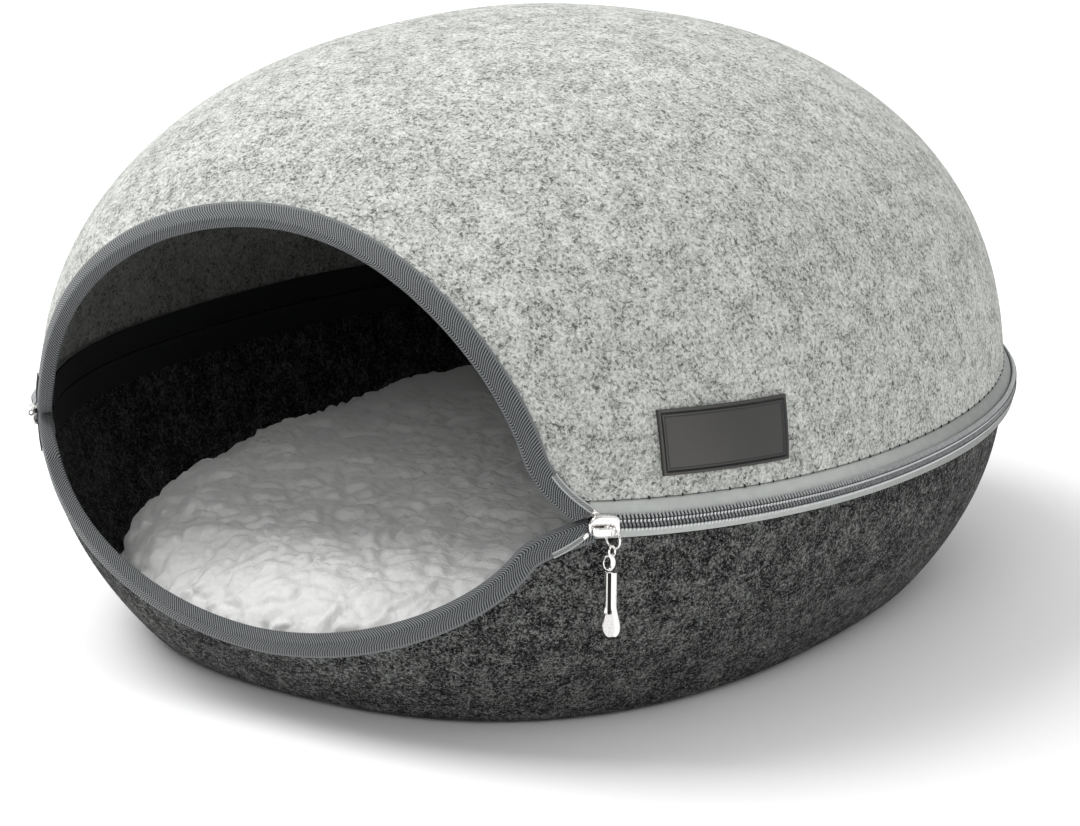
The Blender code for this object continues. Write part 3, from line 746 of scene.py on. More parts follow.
def strip_outline(line, thickness):
    """The closed outline of a strip of cloth along a centre line of 2D points, mitred at its bends."""
    left, right = [], []
    for index, point in enumerate(line):
        ways = [line[near + 1] - line[near] for near in (index - 1, index) if 0 <= near < len(line) - 1]
        sides = [Vector((-way.y, way.x)).normalized() for way in ways]
        middle = sum(sides, Vector((0, 0))).normalized()
        offset = middle * (thickness / 2 / middle.dot(sides[0]))
        left.append(point + offset)
        right.append(point - offset)
    return left + right[::-1]


def binding_line():
    """The folded tape's centre line, as (towards the opening, outward) from the felt's outer edge, round at its fold."""
    spine, inner = EASE + TAPE / 2, -FELT - EASE - TAPE / 2
    reaches = [BINDING_LEG * (1 - step / 7) for step in range(7)]
    outer_leg = [Vector((-reach, spine - BINDING_BOW * reach**2 / 2)) for reach in reaches]
    inner_leg = [Vector((-reach, inner - BINDING_BOW * reach**2 / 2)) for reach in reaches]
    middle, radius = (spine + inner) / 2, (spine - inner) / 2
    fold = []
    for step in range(9):
        turn = math.pi * (0.5 - step / 8)
        bulge = math.copysign(abs(math.sin(turn)) ** 0.6, math.sin(turn))
        fold.append(Vector((spine * math.cos(turn) ** 0.6, middle + radius * bulge)))
    return outer_leg + fold + inner_leg[::-1]


def distances(points):
    """How far along a row of points each one lies."""
    steps = [0.0]
    for before, after in zip(points, points[1:]):
        steps.append(steps[-1] + (after - before).length)
    return steps


def sweep(name, sections, across, material, closed_end=True):
    """A strip of cloth through a row of closed sections. Its points keep how far along and across the cloth they lie."""
    bm = bmesh.new()
    lengths = bm.verts.layers.float.new("along")
    widths = bm.verts.layers.float.new("across")
    middles = [sum(section, Vector()) / len(section) for section in sections]
    rings = []
    for section, length in zip(sections, distances(middles)):
        ring = [bm.verts.new(point) for point in section]
        for vert, width in zip(ring, across):
            vert[lengths], vert[widths] = length, width
        rings.append(ring)
    for first, second in zip(rings, rings[1:]):
        join_rings(bm, first, second)
    if closed_end:
        bm.faces.new(rings[0])
        bm.faces.new(rings[-1])
    return mesh_of(name, bm, material, sharp_from=math.radians(75))


def evenly(frames, step):
    """Frames again, (point, vector, ...) each, a given distance apart along their points."""
    table = np.array([[component for vector in row for component in vector] for row in frames])
    along = np.concatenate([[0], np.cumsum(np.linalg.norm(np.diff(table[:, :3], axis=0), axis=1))])
    count = max(2, round(along[-1] / step))
    wanted = np.linspace(0, along[-1], count + 1)
    columns = [np.interp(wanted, along, table[:, column]) for column in range(table.shape[1])]
    return [tuple(Vector(row[at : at + 3]) for at in range(0, len(row), 3)) for row in np.stack(columns, axis=1)]


def binding_mesh(name, face, cut, clear, last_angle, material):
    """The plain folded tape over one half of the entrance's edge, past the felt's corners."""
    corner = corner_of(face, cut, clear)
    tail = [corner + (last_angle - corner) * step / BINDING_TAIL_STEPS for step in range(1, BINDING_TAIL_STEPS + 1)]
    angles = [-angle for angle in tail[::-1]] + front_angles(corner, 4 * FRONT_COLUMNS) + tail
    line = binding_line()
    outline = strip_outline(line, TAPE)
    fold = distances([Vector((*spot, 0)) for spot in line])
    across = [distance - fold[-1] / 2 for distance in fold]
    sections = []
    for point, into, out in evenly(
        [(point, into, out) for point, _, into, out in (edge_frame(face, cut, angle) for angle in angles)],
        RIB_PITCH / RIB_STEPS,
    ):
        sections.append([point + into * spot.x + out * spot.y for spot in outline])
    return sweep(name, sections, across + across[::-1], material)


def trim_below(mesh, height):
    """Cuts a mesh off level at a height and closes the cuts."""
    bm = bmesh.new()
    bm.from_mesh(mesh)
    everything = bm.verts[:] + bm.edges[:] + bm.faces[:]
    bmesh.ops.bisect_plane(bm, geom=everything, plane_co=(0, 0, height), plane_no=(0, 0, -1), clear_outer=True)
    bmesh.ops.holes_fill(bm, edges=[edge for edge in bm.edges if edge.is_boundary])
    bm.to_mesh(mesh)
    bm.free()


def rib_tree(material):
    """Raises twill ribs on a tape: its points move out along a wave that leans one way on each side of the fold."""
    sizes = {
        "Rib pitch": RIB_PITCH,
        "Rib height": RIB_HEIGHT,
        "Fold slant": FOLD_SLANT,
        "Leg slant": LEG_SLANT,
        "Fold reach": FOLD_REACH,
        "Rib shift": RIB_SHIFT,
        "Selvage from": SELVAGE_FROM,
    }
    tree, flows = start_tree("twill ribs", sizes)
    start = flows["Geometry"]
    along, across = (
        start.node("GeometryNodeInputNamedAttribute", {"data_type": "FLOAT"}, {"Name": name})
        for name in ("along", "across")
    )
    away = (across - flows["Rib shift"]).size()
    fold = away.least(flows["Fold reach"])
    leg = away.least(flows["Selvage from"]).most(flows["Fold reach"]) - flows["Fold reach"]
    past = away.most(flows["Selvage from"]) - flows["Selvage from"]
    lean = fold * flows["Fold slant"] + (leg - past) * flows["Leg slant"]
    phase = (along + lean) / flows["Rib pitch"]
    strength = 1 - (away - flows["Selvage from"]).step(-0.0004, 0.0004) * 0.75
    rise = phase.wave() * flows["Rib height"] * strength
    normal = start.node("GeometryNodeInputNormal")
    lift = normal.node("ShaderNodeVectorMath", {"operation": "SCALE"}, {0: normal, "Scale": rise})
    moved = start.node("GeometryNodeSetPosition", {}, {"Geometry": start, "Offset": lift})
    kept = start.node(
        "GeometryNodeStoreNamedAttribute",
        {"data_type": "FLOAT", "domain": "POINT"},
        {"Geometry": moved, "Name": "rib", "Value": phase},
    )
    end_tree(kept, material)
    return tree


def binding_finish():
    """Twill of grey threads, pale on the ribs with painted shade between them, and a flatter selvage with painted shade
    between its threads.
    """
    material, shader, start = start_finish("grey binding", roughness=0.72)
    shader.inputs["Specular IOR Level"].default_value = 0.35
    shader.inputs["Sheen Weight"].default_value = 0.15
    along, across, rib = (
        start.node("ShaderNodeAttribute", {"attribute_name": name}, {}, output="Fac")
        for name in ("along", "across", "rib")
    )
    place = start.node("ShaderNodeTexCoord", {}, {}, output="Object")
    crest = rib.wave() ** 1.9
    thread = (across / 0.00080 + (rib * 0.5)).wave()
    selvage = across.size().step(SELVAGE_FROM - 0.0004, SELVAGE_FROM + 0.0004)
    weave = (along / 0.0007).wave() * (across / 0.0006).wave()
    wear = place.noise(900, detail=2.0).step(0.3, 0.7)
    # Painted shade between the ribs, and between the selvage's threads.
    ribbed = (crest * (0.60 + thread * 0.40) * (0.85 + wear * 0.15)).colour(BINDING_SHADE, BINDING_LIGHT)
    plain = (0.45 + weave * 0.4 + crest * 0.15).colour(BINDING_SHADE, BINDING_SELVAGE)
    paint(shader, selvage.colour(ribbed, plain), "Base Color")
    emboss(shader, crest * (1 - selvage) + thread * 0.15 + weave * selvage * 0.4 + wear * 0.2, 0.00018)
    return material


def arch_angle_at(height):
    """The angle at which the dome's edge comes down to a height, near its corner."""
    return crossing(lambda angle: dome(angle, cut_run(dome, ARCH, angle)).z - height, 0.5, 0.75)


grey_binding = binding_finish()
ribs = rib_tree(grey_binding)
arch_tape = binding_mesh(
    "binding_arch", dome, ARCH, DOME_EDGE, arch_angle_at(ARCH_BINDING_END - 0.004), grey_binding
)
arch_piece = add_piece(grow(ribs, arch_tape))
trim_below(arch_piece.data, ARCH_BINDING_END)
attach(arch_piece, "root")
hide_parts("dome_binding")

lip_tape = binding_mesh("binding_lip", bowl, LIP, BOWL_EDGE, LIP_BINDING_END, grey_binding)
lip_piece = add_piece(grow(ribs, lip_tape, {"Selvage from": SELVAGE_FROM - 0.0015}))
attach(lip_piece, "root")
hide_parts("bowl_binding")


# --- The zip's tapes ---
# Two woven polyester tapes, satin grey, sewn behind the felt's edges. Each turns out over the felt's edge and up or
# down behind its row of teeth, so that the closed zip stands proud of the egg.

ZIP_START = math.radians(45.1)
TAPE_START = math.radians(44.2)
STRIP_START = math.radians(46.4)
ZIP_DRAWN_IN = 0.45  # share of its standing out that the zip loses at its ends, under the sliders
ZIP_DRAWN_FROM = 0.026  # length over which it draws in
GAP = 0.0003
TAPE_FLAP = 0.0130
CHAIN_HEIGHT = 0.0004
CHAIN_OUT = 0.0049
SHOULDER_OUT = 0.0031
SHOULDER_REACH = 0.0034
TAPE_FOLD_OUT = {1: -0.0004, -1: 0.0012}  # how far each tape's fold stands out from the felt
ZIP_COLUMNS = 460
SETTLE_FROM = math.radians(60)
SETTLE_OVER = math.radians(45)
SETTLE_SLOPE = 0.52
TAPE_LIGHT = (0.560, 0.582, 0.562)
TAPE_DARK = (0.430, 0.450, 0.436)


def seam_frame(angle):
    """A point of the seam, with the level direction that stands out from it."""
    way = dome(angle + NUDGE, 0) - dome(angle - NUDGE, 0)
    return dome(angle, 0), Vector((way.y, -way.x, 0)).normalized()


def zip_angles(count, start=ZIP_START):
    return [start + (2 * math.pi - 2 * start) * step / count for step in range(count + 1)]


def stand_out(angle, out):
    """How far out a spot of the zip lies: less and less near its ends."""
    left = (min(angle, 2 * math.pi - angle) - ZIP_START) * HALF_LENGTH / ZIP_DRAWN_FROM
    near = 1 - min(1.0, max(0.0, left))
    return out * (1 - ZIP_DRAWN_IN * near**2 * (3 - 2 * near)) if out > 0 else out


def settle(angle, spot):
    """How much further out the lower part of the zip stands where it goes round the back."""
    round_back = min(1.0, max(0.0, (min(angle, 2 * math.pi - angle) - SETTLE_FROM) / SETTLE_OVER))
    share = round_back**2 * (3 - 2 * round_back) if spot.x > -FELT / 2 else 0.0
    return SETTLE_SLOPE * share * max(0.0, -spot.y)


def run_round_seam(name, line, thickness, start, material):
    """A strip whose centre line, in (outward, upward) from the egg's face at the seam, is carried round the back."""
    outline = strip_outline(line, thickness)
    across = distances([Vector((*spot, 0)) for spot in line])
    sections = []
    for angle in zip_angles(ZIP_COLUMNS, start):
        out = seam_frame(angle)[1]
        faces = {}
        for spot in outline:
            height = round(spot.y, 6)
            if height not in faces:
                face = dome if height > 0 else bowl
                faces[height] = face(angle, edge_run(face, angle, abs(height)))
        sections.append(
            [faces[round(spot.y, 6)] + out * (stand_out(angle, spot.x) + settle(angle, spot)) for spot in outline]
        )
    return sweep(name, sections, across + across[::-1], material)


def tape_line(side, edge):
    """A tape's centre line: up behind the felt, out past its edge in a soft fold, and up behind the teeth."""
    fold = edge - EASE - TAPE / 2
    behind = -FELT - GAP - TAPE / 2
    corners = [
        Vector((behind, side * TAPE_FLAP)),
        Vector((behind, side * fold)),
        Vector((TAPE_FOLD_OUT[side], side * fold)),
        Vector((SHOULDER_OUT, CHAIN_HEIGHT + side * SHOULDER_REACH)),
        Vector((SHOULDER_OUT, CHAIN_HEIGHT + side * GAP)),
    ]
    line = corners[:1]
    for before, corner, after, soft in zip(corners, corners[1:], corners[2:], (0.0006, 0.0016, 0.0009)):
        enter, leave = (corner + (end - corner).normalized() * soft for end in (before, after))
        for step in range(5):
            share = step / 4
            line.append((enter.lerp(corner, share)).lerp(corner.lerp(leave, share), share))
    return line + corners[-1:]


def tape_finish():
    """Satin-woven grey tape: fine threads along and across it, a soft gloss, slight unevenness, and painted shade that
    darkens it towards the back of the egg.
    """
    material, shader, start = start_finish("zip tape", roughness=0.55)
    shader.inputs["Specular IOR Level"].default_value = 0.4
    shader.inputs["Sheen Weight"].default_value = 0.2
    along, across = (
        start.node("ShaderNodeAttribute", {"attribute_name": name}, {}, output="Fac") for name in ("along", "across")
    )
    place = start.node("ShaderNodeTexCoord", {}, {}, output="Object")
    threads = (across / 0.00045 + along / 0.0009).wave()
    picks = (along / 0.00055).wave()
    cloud = place.noise(220, detail=3.0).step(0.3, 0.7)
    tone = threads * 0.25 + picks * 0.15 + cloud * 0.35 + 0.25
    # Painted shade: the tape is darkened towards the back of the egg.
    back = place.node("ShaderNodeSeparateXYZ", {}, {0: place}, output=1).step(-0.13, 0.09)
    colour = tone.colour(TAPE_DARK, TAPE_LIGHT)
    shaded_towards_back = colour.node("ShaderNodeVectorMath", {"operation": "SCALE"}, {0: colour, "Scale": 1 - back * 0.56})
    paint(shader, shaded_towards_back, "Base Color")
    paint(shader, 0.62 - cloud * 0.12, "Roughness")
    emboss(shader, threads * 0.6 + picks * 0.4, 0.00008)
    return material


zip_tape = tape_finish()
for side, edge, name, felt_piece in ((1, DOME_EDGE, "upper", "felt_dome"), (-1, BOWL_EDGE, "lower", "felt_bowl")):
    tape_piece = add_piece(run_round_seam(f"tape_{name}", tape_line(side, edge), TAPE, TAPE_START, zip_tape))
    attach(tape_piece, "root")
    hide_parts(f"zip_tape_{name}")


# --- The zip's coils ---
# Two coils of grey nylon wire, one sewn along each tape, whose loops lock between each other. Each loop bulges in its
# middle, where it catches the light, and dips between the others at the chain's middle.

COIL_PITCH = 0.00175
COIL_WIRE = 0.00053
COIL_TOP = 0.0037  # distance of a loop's outer end from the chain's middle
COIL_HEAD = -0.0001  # how far a loop reaches past the chain's middle
COIL_BULGE = 0.0020
COIL_SINK = 0.0007  # how deep the loops' ends lie
COIL_LEAN = 0.0007
COIL_THREAD = 0.00022
COIL_THREAD_OUT = 0.00115
COIL_SHADE_BED = 0.0036  # half the height of the dark sheet behind the loops: partly the coil's cord, partly painted shade in the gaps between loops
COIL_SHADE_BED_OUT = -0.0011
# The coil's painted highlight and painted shade; the grey wire's own colour lies between them.
COIL_HIGHLIGHT = (0.84, 0.86, 0.86)
COIL_SHADE = (0.19, 0.20, 0.205)


def bent_wire_tree(name, material, sizes):
    """Puts a bent wire on each point: an arch across the point's way, from its top to its foot."""
    tree, flows = start_tree(name, sizes)
    start = flows["Geometry"]

    def spot(x, y, z):
        return start.node("ShaderNodeCombineXYZ", {}, {"X": x, "Y": y, "Z": z})

    middle = (flows["Top"] + flows["Foot"]) * 0.5
    arch = start.node(
        "GeometryNodeCurveQuadraticBezier",
        {},
        {
            "Resolution": 6,
            "Start": spot(flows["Lean"] * -0.5, flows["Top"], flows["Sink"] * -1),
            "Middle": spot(0.0, middle, flows["Bulge"]),
            "End": spot(flows["Lean"] * 0.5, flows["Foot"], flows["Sink"] * -1),
        },
    )
    ring = start.node("GeometryNodeCurvePrimitiveCircle", {}, {"Resolution": 6, "Radius": flows["Wire"]})
    wire = start.node(
        "GeometryNodeCurveToMesh", {}, {"Curve": arch, "Profile Curve": ring, "Fill Caps": True}
    )
    height = start.node("ShaderNodeSeparateXYZ", {}, {0: start.node("GeometryNodeInputPosition")}, output=1)
    wire = start.node(
        "GeometryNodeStoreNamedAttribute",
        {"data_type": "FLOAT", "domain": "POINT"},
        {"Geometry": wire, "Name": "across", "Value": height},
    )
    out, way = (
        start.node(
            "GeometryNodeInputNamedAttribute", {"data_type": "FLOAT_VECTOR"}, {"Name": attribute}
        )
        for attribute in ("out", "way")
    )
    turned = start.node(
        "FunctionNodeAxesToRotation",
        {"primary_axis": "Z", "secondary_axis": "X"},
        {"Primary Axis": out, "Secondary Axis": way},
    )
    points = start.node("GeometryNodeMeshToPoints", {}, {"Mesh": start})
    size = start.node("FunctionNodeRandomValue", {"data_type": "FLOAT"}, {2: flows["Least"], 3: 1.0}, output=1)
    size.socket.node.inputs["Seed"].default_value = 4
    copies = start.node(
        "GeometryNodeInstanceOnPoints",
        {},
        {"Points": points, "Instance": wire, "Rotation": turned, "Scale": size},
    )
    end_tree(copies, material)
    return tree


def points_mesh(name, frames):
    """Loose points, each with the way along its row and the way out."""
    mesh = bpy.data.meshes.new(name)
    mesh.from_pydata([point for point, _, _ in frames], [], [])
    for attribute, at in (("way", 1), ("out", 2)):
        layer = mesh.attributes.new(attribute, "FLOAT_VECTOR", "POINT")
        layer.data.foreach_set("vector", [number for row in frames for number in row[at]])
    return mesh


def chain_frames(step, shift=0.0):
    """Places along the chain, each with the way along it and the way out."""
    frames = []
    for angle in zip_angles(ZIP_COLUMNS):
        point, out = seam_frame(angle)
        way = (dome(angle + NUDGE, 0) - dome(angle - NUDGE, 0)).normalized()
        place = point + out * stand_out(angle, CHAIN_OUT) + Vector((0, 0, CHAIN_HEIGHT))
        frames.append((place, way, out))
    return [(point + way * shift, way, out) for point, way, out in evenly(frames, step)]


def coil_finish():
    """Grey nylon wire, a little glossy, with painted highlights in rows along the loops and painted shade between them.
    """
    material, shader, start = start_finish("zip coil", roughness=0.30)
    shader.inputs["Coat Weight"].default_value = 0.3
    place = start.node("ShaderNodeTexCoord", {}, {}, output="Object")
    across = start.node("ShaderNodeAttribute", {"attribute_name": "across"}, {}, output="Fac")
    cloud = place.noise(600, detail=2.0).step(0.3, 0.7)
    # Painted highlights on the upper loops near the chain's middle, on the lower loops' outer ends and, fainter, on the
    # upper loops' outer ends; painted shade elsewhere.
    upper_row_highlight = across.step(-0.0002, 0.0004) * (1 - across.step(0.0014, 0.0020))
    lower_row_highlight = 1 - across.step(-0.0028, -0.0021)
    outer = across.step(0.0018, 0.0026)
    tone = (upper_row_highlight + lower_row_highlight) * 0.85 + outer * 0.22 + cloud * 0.15
    paint(shader, tone.colour(COIL_SHADE, COIL_HIGHLIGHT), "Base Color")
    emboss(shader, cloud, 0.00003)
    return material


def run_along_chain(name, outline, material):
    """A cord along the chain, whose outline is given as (outward, upward) from the chain's middle."""
    sections = []
    for point, _, out in chain_frames(COIL_PITCH / 2):
        sections.append([point + out * spot.x + Vector((0, 0, spot.y)) for spot in outline])
    return sweep(name, sections, [0.0] * len(outline), material)


def round_outline(middle, half_out, half_up, sides):
    turns = [2 * math.pi * step / sides for step in range(sides)]
    return [middle + Vector((half_out * math.cos(turn), half_up * math.sin(turn))) for turn in turns]


def dark_thread_finish():
    """Dark grey sewing thread, which holds the loops down."""
    material, shader, start = start_finish("dark thread", roughness=0.7)
    place = start.node("ShaderNodeTexCoord", {}, {}, output="Object")
    twist = place.noise(1800, detail=1.0).step(0.4, 0.6)
    paint(shader, twist.colour((0.020, 0.022, 0.024), (0.055, 0.058, 0.060)), "Base Color")
    emboss(shader, twist, 0.00008)
    return material


zip_coil = coil_finish()
dark_thread = dark_thread_finish()
# A dark sheet behind the loops: partly the cord inside the coil, partly painted shade that blackens the gaps between
# the loops.
shade_bed_outline = round_outline(Vector((COIL_SHADE_BED_OUT, 0)), 0.0003, COIL_SHADE_BED, 6)
shade_bed_piece = add_piece(run_along_chain("coil_shade_bed", shade_bed_outline, dark_thread))
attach(shade_bed_piece, "root")
for side, name in ((1, "upper"), (-1, "lower")):
    thread_middle = Vector((COIL_THREAD_OUT, side * (COIL_TOP + COIL_HEAD) / 2))
    thread_outline = round_outline(thread_middle, COIL_THREAD, COIL_THREAD, 5)
    thread_piece = add_piece(run_along_chain(f"coil_thread_{name}", thread_outline, dark_thread))
    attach(thread_piece, "root")
    coil_sizes = {
        "Top": side * COIL_TOP,
        "Foot": side * COIL_HEAD,
        "Bulge": COIL_BULGE,
        "Sink": COIL_SINK,
        "Lean": side * COIL_LEAN,
        "Wire": COIL_WIRE,
        "Least": 1.0,
    }
    loops = bent_wire_tree(f"coil {name}", zip_coil, coil_sizes)
    coil_points = points_mesh(f"coil_{name}", chain_frames(COIL_PITCH, COIL_PITCH / 2 if side < 0 else 0.0))
    coil_piece = add_piece(grow(loops, coil_points, coil_sizes))
    coil_piece.data.shade_smooth()
    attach(coil_piece, "root")
    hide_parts(f"zip_teeth_{name}")


# --- The stitches along the zip ---
# The tapes are sewn through the felt with black thread. Where a stitch pulls tight over the felt's cut edge it shows
# as a small dark loop.

STITCH_PITCH = 0.0079
STITCH_WIRE = 0.00050
STITCH_TOP = 0.00065
STITCH_FOOT = -0.00055
STITCH_BULGE = 0.0010
STITCH_SINK = 0.0004
THREAD_COLOUR = (0.004, 0.004, 0.004)
THREAD_GLINT = (0.016, 0.016, 0.016)


def thread_finish():
    """Black twisted thread."""
    material, shader, start = start_finish("black thread", roughness=0.6)
    place = start.node("ShaderNodeTexCoord", {}, {}, output="Object")
    twist = place.noise(2500, detail=1.0).step(0.4, 0.6)
    paint(shader, twist.colour(THREAD_COLOUR, THREAD_GLINT), "Base Color")
    emboss(shader, twist, 0.00005)
    return material


def felt_edge_frames(face, clear, step):
    """Places along a shell's level edge, each with the way along it and the way out."""
    frames = []
    for angle in zip_angles(ZIP_COLUMNS)[3:-3]:
        run = edge_run(face, angle, clear)
        way = (face(angle + NUDGE, run) - face(angle - NUDGE, run)).normalized()
        frames.append((face(angle, run), way, outward(face, angle, run)))
    return evenly(frames, step)


black_thread = thread_finish()
for side, face, edge, name in ((1, dome, DOME_EDGE, "upper"), (-1, bowl, BOWL_EDGE, "lower")):
    stitch_sizes = {
        "Top": side * STITCH_TOP,
        "Foot": side * STITCH_FOOT,
        "Bulge": STITCH_BULGE,
        "Sink": STITCH_SINK,
        "Lean": 0.0008,
        "Wire": STITCH_WIRE,
        "Least": 0.45,
    }
    loops = bent_wire_tree(f"stitches {name}", black_thread, stitch_sizes)
    stitch_piece = add_piece(
        grow(loops, points_mesh(f"stitches_{name}", felt_edge_frames(face, edge, STITCH_PITCH)), stitch_sizes)
    )
    stitch_piece.data.shade_smooth()
    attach(stitch_piece, "root")


# --- The strips inside the seam ---
# Black woven strips that cover the tapes inside the egg, one above the zip and one below it.

STRIP = 0.0010
STRIP_COLOUR = (0.010, 0.010, 0.011)
STRIP_GLINT = (0.026, 0.026, 0.028)


def strip_finish():
    """Black plain weave."""
    material, shader, start = start_finish("black strip", roughness=0.85)
    along, across = (
        start.node("ShaderNodeAttribute", {"attribute_name": name}, {}, output="Fac") for name in ("along", "across")
    )
    weave = ((along / 0.0008).wave() - (across / 0.0008).wave()).size()
    paint(shader, weave.colour(STRIP_COLOUR, STRIP_GLINT), "Base Color")
    emboss(shader, weave, 0.0001)
    return material


black_strip = strip_finish()
for side, name in ((1, "upper"), (-1, "lower")):
    cover = -FELT - GAP - TAPE - GAP - STRIP / 2
    cover_line = []
    for step in range(9):
        share = step / 8
        pillow = 0.0003 * math.sin(math.pi * share)
        cover_line.append(Vector((cover - pillow, side * (TAPE_FLAP + (GAP - TAPE_FLAP) * share))))
    strip_piece = add_piece(run_round_seam(f"strip_{name}", cover_line, STRIP, STRIP_START, black_strip))
    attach(strip_piece, "root")
    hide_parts(f"seam_strip_{name}")


# --- The ends of the zip ---
# Past the sliders each tape's end is turned back along the binding's outer edge and sewn down, so that its corded
# selvages show beside it. A small metal stop is pinched onto each end on the right.

TAIL_HALF_WIDTH = 0.0011
TAIL_CORD = 0.00032
TAIL_OUT = 0.0015
TAIL_PAST_BINDING = -0.0012
TAIL_RUN_ON = {"upper": 0.0060, "lower": 0.0}  # how far the ends run on past the bindings' own
TAIL_DRAWS = {"upper": 0.0, "lower": 0.0030}  # how far they draw in to the sliders
UPPER_TAIL_TOP = 0.1260  # height at which the upper tape's end runs out beside the arch
LOWER_TAIL_FROM = math.radians(39.5)
TAIL_STEPS = 60
STOP_SIZE = Vector((0.0030, 0.0022, 0.0024))
STOP_ROUNDING = 0.0006
CORD_LIGHT = (0.62, 0.64, 0.63)
CORD_DARK = (0.16, 0.17, 0.17)
METAL_COLOUR = (0.90, 0.885, 0.87)
METAL_SHADE = (0.72, 0.70, 0.69)
METAL_RECESS_SHADE = (0.030, 0.028, 0.027)


def tail_outline():
    """A flat ribbon with a cord along each side, as (across, outward)."""
    points = []
    for side in (1, -1):
        for step in range(7):
            turn = math.pi * (0.85 - 1.7 * step / 6)
            cord = Vector((math.cos(turn), math.sin(turn))) * TAIL_CORD
            points.append(Vector((TAIL_HALF_WIDTH, 0)) * side + cord * side)
    return points


def tail_frames(face, cut, first, last, run_on, draw):
    """A tape's end along the outer edge of the binding, between two angles and then straight on."""
    frames = []
    for step in range(TAIL_STEPS + 1):
        point, _, into, out = edge_frame(face, cut, first + (last - first) * step / TAIL_STEPS)
        reach = BINDING_LEG + TAIL_PAST_BINDING - draw * (step / TAIL_STEPS) ** 2
        frames.append((point - into * reach + out * TAIL_OUT, into, out))
    way = (frames[-1][0] - frames[-2][0]).normalized()
    frames.append((frames[-1][0] + way * max(run_on, TAIL_CORD), *frames[-1][1:]))
    return frames, way


def tail_mesh(name, frames, material):
    sections = [[middle + into * spot.x + out * spot.y for spot in tail_outline()] for middle, into, out in frames]
    return sweep(name, sections, [spot.x for spot in tail_outline()], material)


def cord_finish():
    """Pale selvage cords, with the greyer web of the tape between them."""
    material, shader, start = start_finish("tape selvage", roughness=0.7)
    along, across = (
        start.node("ShaderNodeAttribute", {"attribute_name": name}, {}, output="Fac") for name in ("along", "across")
    )
    twist = (along / 0.0011 + across / 0.0011).wave()
    cord = across.size().step(TAIL_HALF_WIDTH * 0.55, TAIL_HALF_WIDTH * 0.80)
    paint(shader, (cord * 0.6 + twist * 0.3).colour(CORD_DARK, CORD_LIGHT), "Base Color")
    emboss(shader, twist, 0.0002)
    return material


def metal_finish():
    """Bright chrome over a casting, with faint scuffs, and painted shade where it is recessed, for the dark reflection
    there.
    """
    material, shader, start = start_finish("bright metal", roughness=0.12, metallic=1.0)
    place = start.node("ShaderNodeTexCoord", {}, {}, output="Object")
    deep = start.node("ShaderNodeAttribute", {"attribute_name": "deep"}, {}, output="Fac")
    scuffs = place.noise(1200, detail=3.0).step(0.45, 0.75)
    skin = scuffs.colour(METAL_COLOUR, METAL_SHADE)
    # Painted shade and reflection: the parts marked deep are darkened.
    paint(shader, deep.colour(skin, METAL_RECESS_SHADE), "Base Color")
    paint(shader, 0.10 + scuffs * 0.10 + deep * 0.3, "Roughness")
    emboss(shader, scuffs, 0.00001)
    return material


def rounded_block(name, middle, axes, size, rounding, material):
    """A small block with rounded edges, in directions of its own."""
    bm = bmesh.new()
    bmesh.ops.create_cube(bm, size=1)
    bmesh.ops.scale(bm, vec=size, verts=bm.verts)
    bmesh.ops.bevel(bm, geom=bm.edges, offset=rounding, segments=4, affect="EDGES", profile=0.5)
    bmesh.ops.transform(bm, matrix=Matrix(axes).transposed().to_4x4(), verts=bm.verts)
    bmesh.ops.translate(bm, vec=middle, verts=bm.verts)
    return mesh_of(name, bm, material, sharp_from=math.radians(60))


tape_selvage = cord_finish()
bright_metal = metal_finish()
upper_ends = (arch_angle_at(UPPER_TAIL_TOP), arch_angle_at(ARCH_BINDING_END + 0.0012))
lower_ends = (LOWER_TAIL_FROM, LIP_BINDING_END - math.radians(0.9))
for side, side_name in ((1, "right"), (-1, "left")):
    for face, cut, ends, name in ((dome, ARCH, upper_ends, "upper"), (bowl, LIP, lower_ends, "lower")):
        frames, way = tail_frames(face, cut, *(side * end for end in ends), TAIL_RUN_ON[name], TAIL_DRAWS[name])
        # The left ends are given the black thread's finish, as painted shade where they lie in shadow beside the left
        # slider.
        web = tape_selvage if side > 0 else black_thread
        tail_piece = add_piece(tail_mesh(f"tape_end_{name}_{side_name}", frames, web))
        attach(tail_piece, "root")
        if side < 0:
            continue
        middle, into, _ = frames[-1]
        axes = (way, into, way.cross(into))
        stop = rounded_block(f"zip_stop_{name}", middle, axes, STOP_SIZE, STOP_ROUNDING, bright_metal)
        stop_piece = add_piece(stop)
        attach(stop_piece, "root")


# --- The sliders ---
# Die-cast sliders, chromed: a plate that wraps the coils, with a broad bridge cast over it. They stand at the two
# ends of the zip, where it is drawn in.

SLIDER_ANGLE = math.radians(45.6)
SLIDER_SHIFTS = {1: Vector((-0.0016, -0.0009)), -1: Vector((-0.0016, -0.0024))}  # along and up, from the solids' place
SLIDER_NOSE = -0.0062
SLIDER_END = 0.0077
SLIDER_HALF = 0.0051
SLIDER_CORNER_POWERS = (2.4, 6.0)  # roundness of the nose and of the far end
SLIDER_TAPER = 0.20  # how much narrower the far end is
SLIDER_BACK = -0.0014
SLIDER_FRONT = 0.0029
SLIDER_ROUNDING = 0.0009
SLIDER_SIDES = 72
BRIDGE_HALF_SPAN = 0.0048
BRIDGE_FOOT = 0.0022
BRIDGE_RISES = {1: 0.0037, -1: 0.0012}
BRIDGE_DROP = 0.0013
BRIDGE_SIZE = (0.0011, 0.0036)  # thickness and width of the strap
BRIDGE_CORNER = 0.0004
BRIDGE_STEPS = 28


def slider_place(side):
    """The middle of a slider on the drawn-in chain, with the directions away from the entrance, out and up."""
    angle = side * SLIDER_ANGLE
    point, out = seam_frame(angle)
    along = (dome(angle + NUDGE, 0) - dome(angle - NUDGE, 0)).normalized() * side
    up = Vector((0, 0, 1))
    drawn = out * stand_out(SLIDER_ANGLE, CHAIN_OUT) + up * CHAIN_HEIGHT
    return point + drawn + along * SLIDER_SHIFTS[side].x + up * SLIDER_SHIFTS[side].y, along, out, up


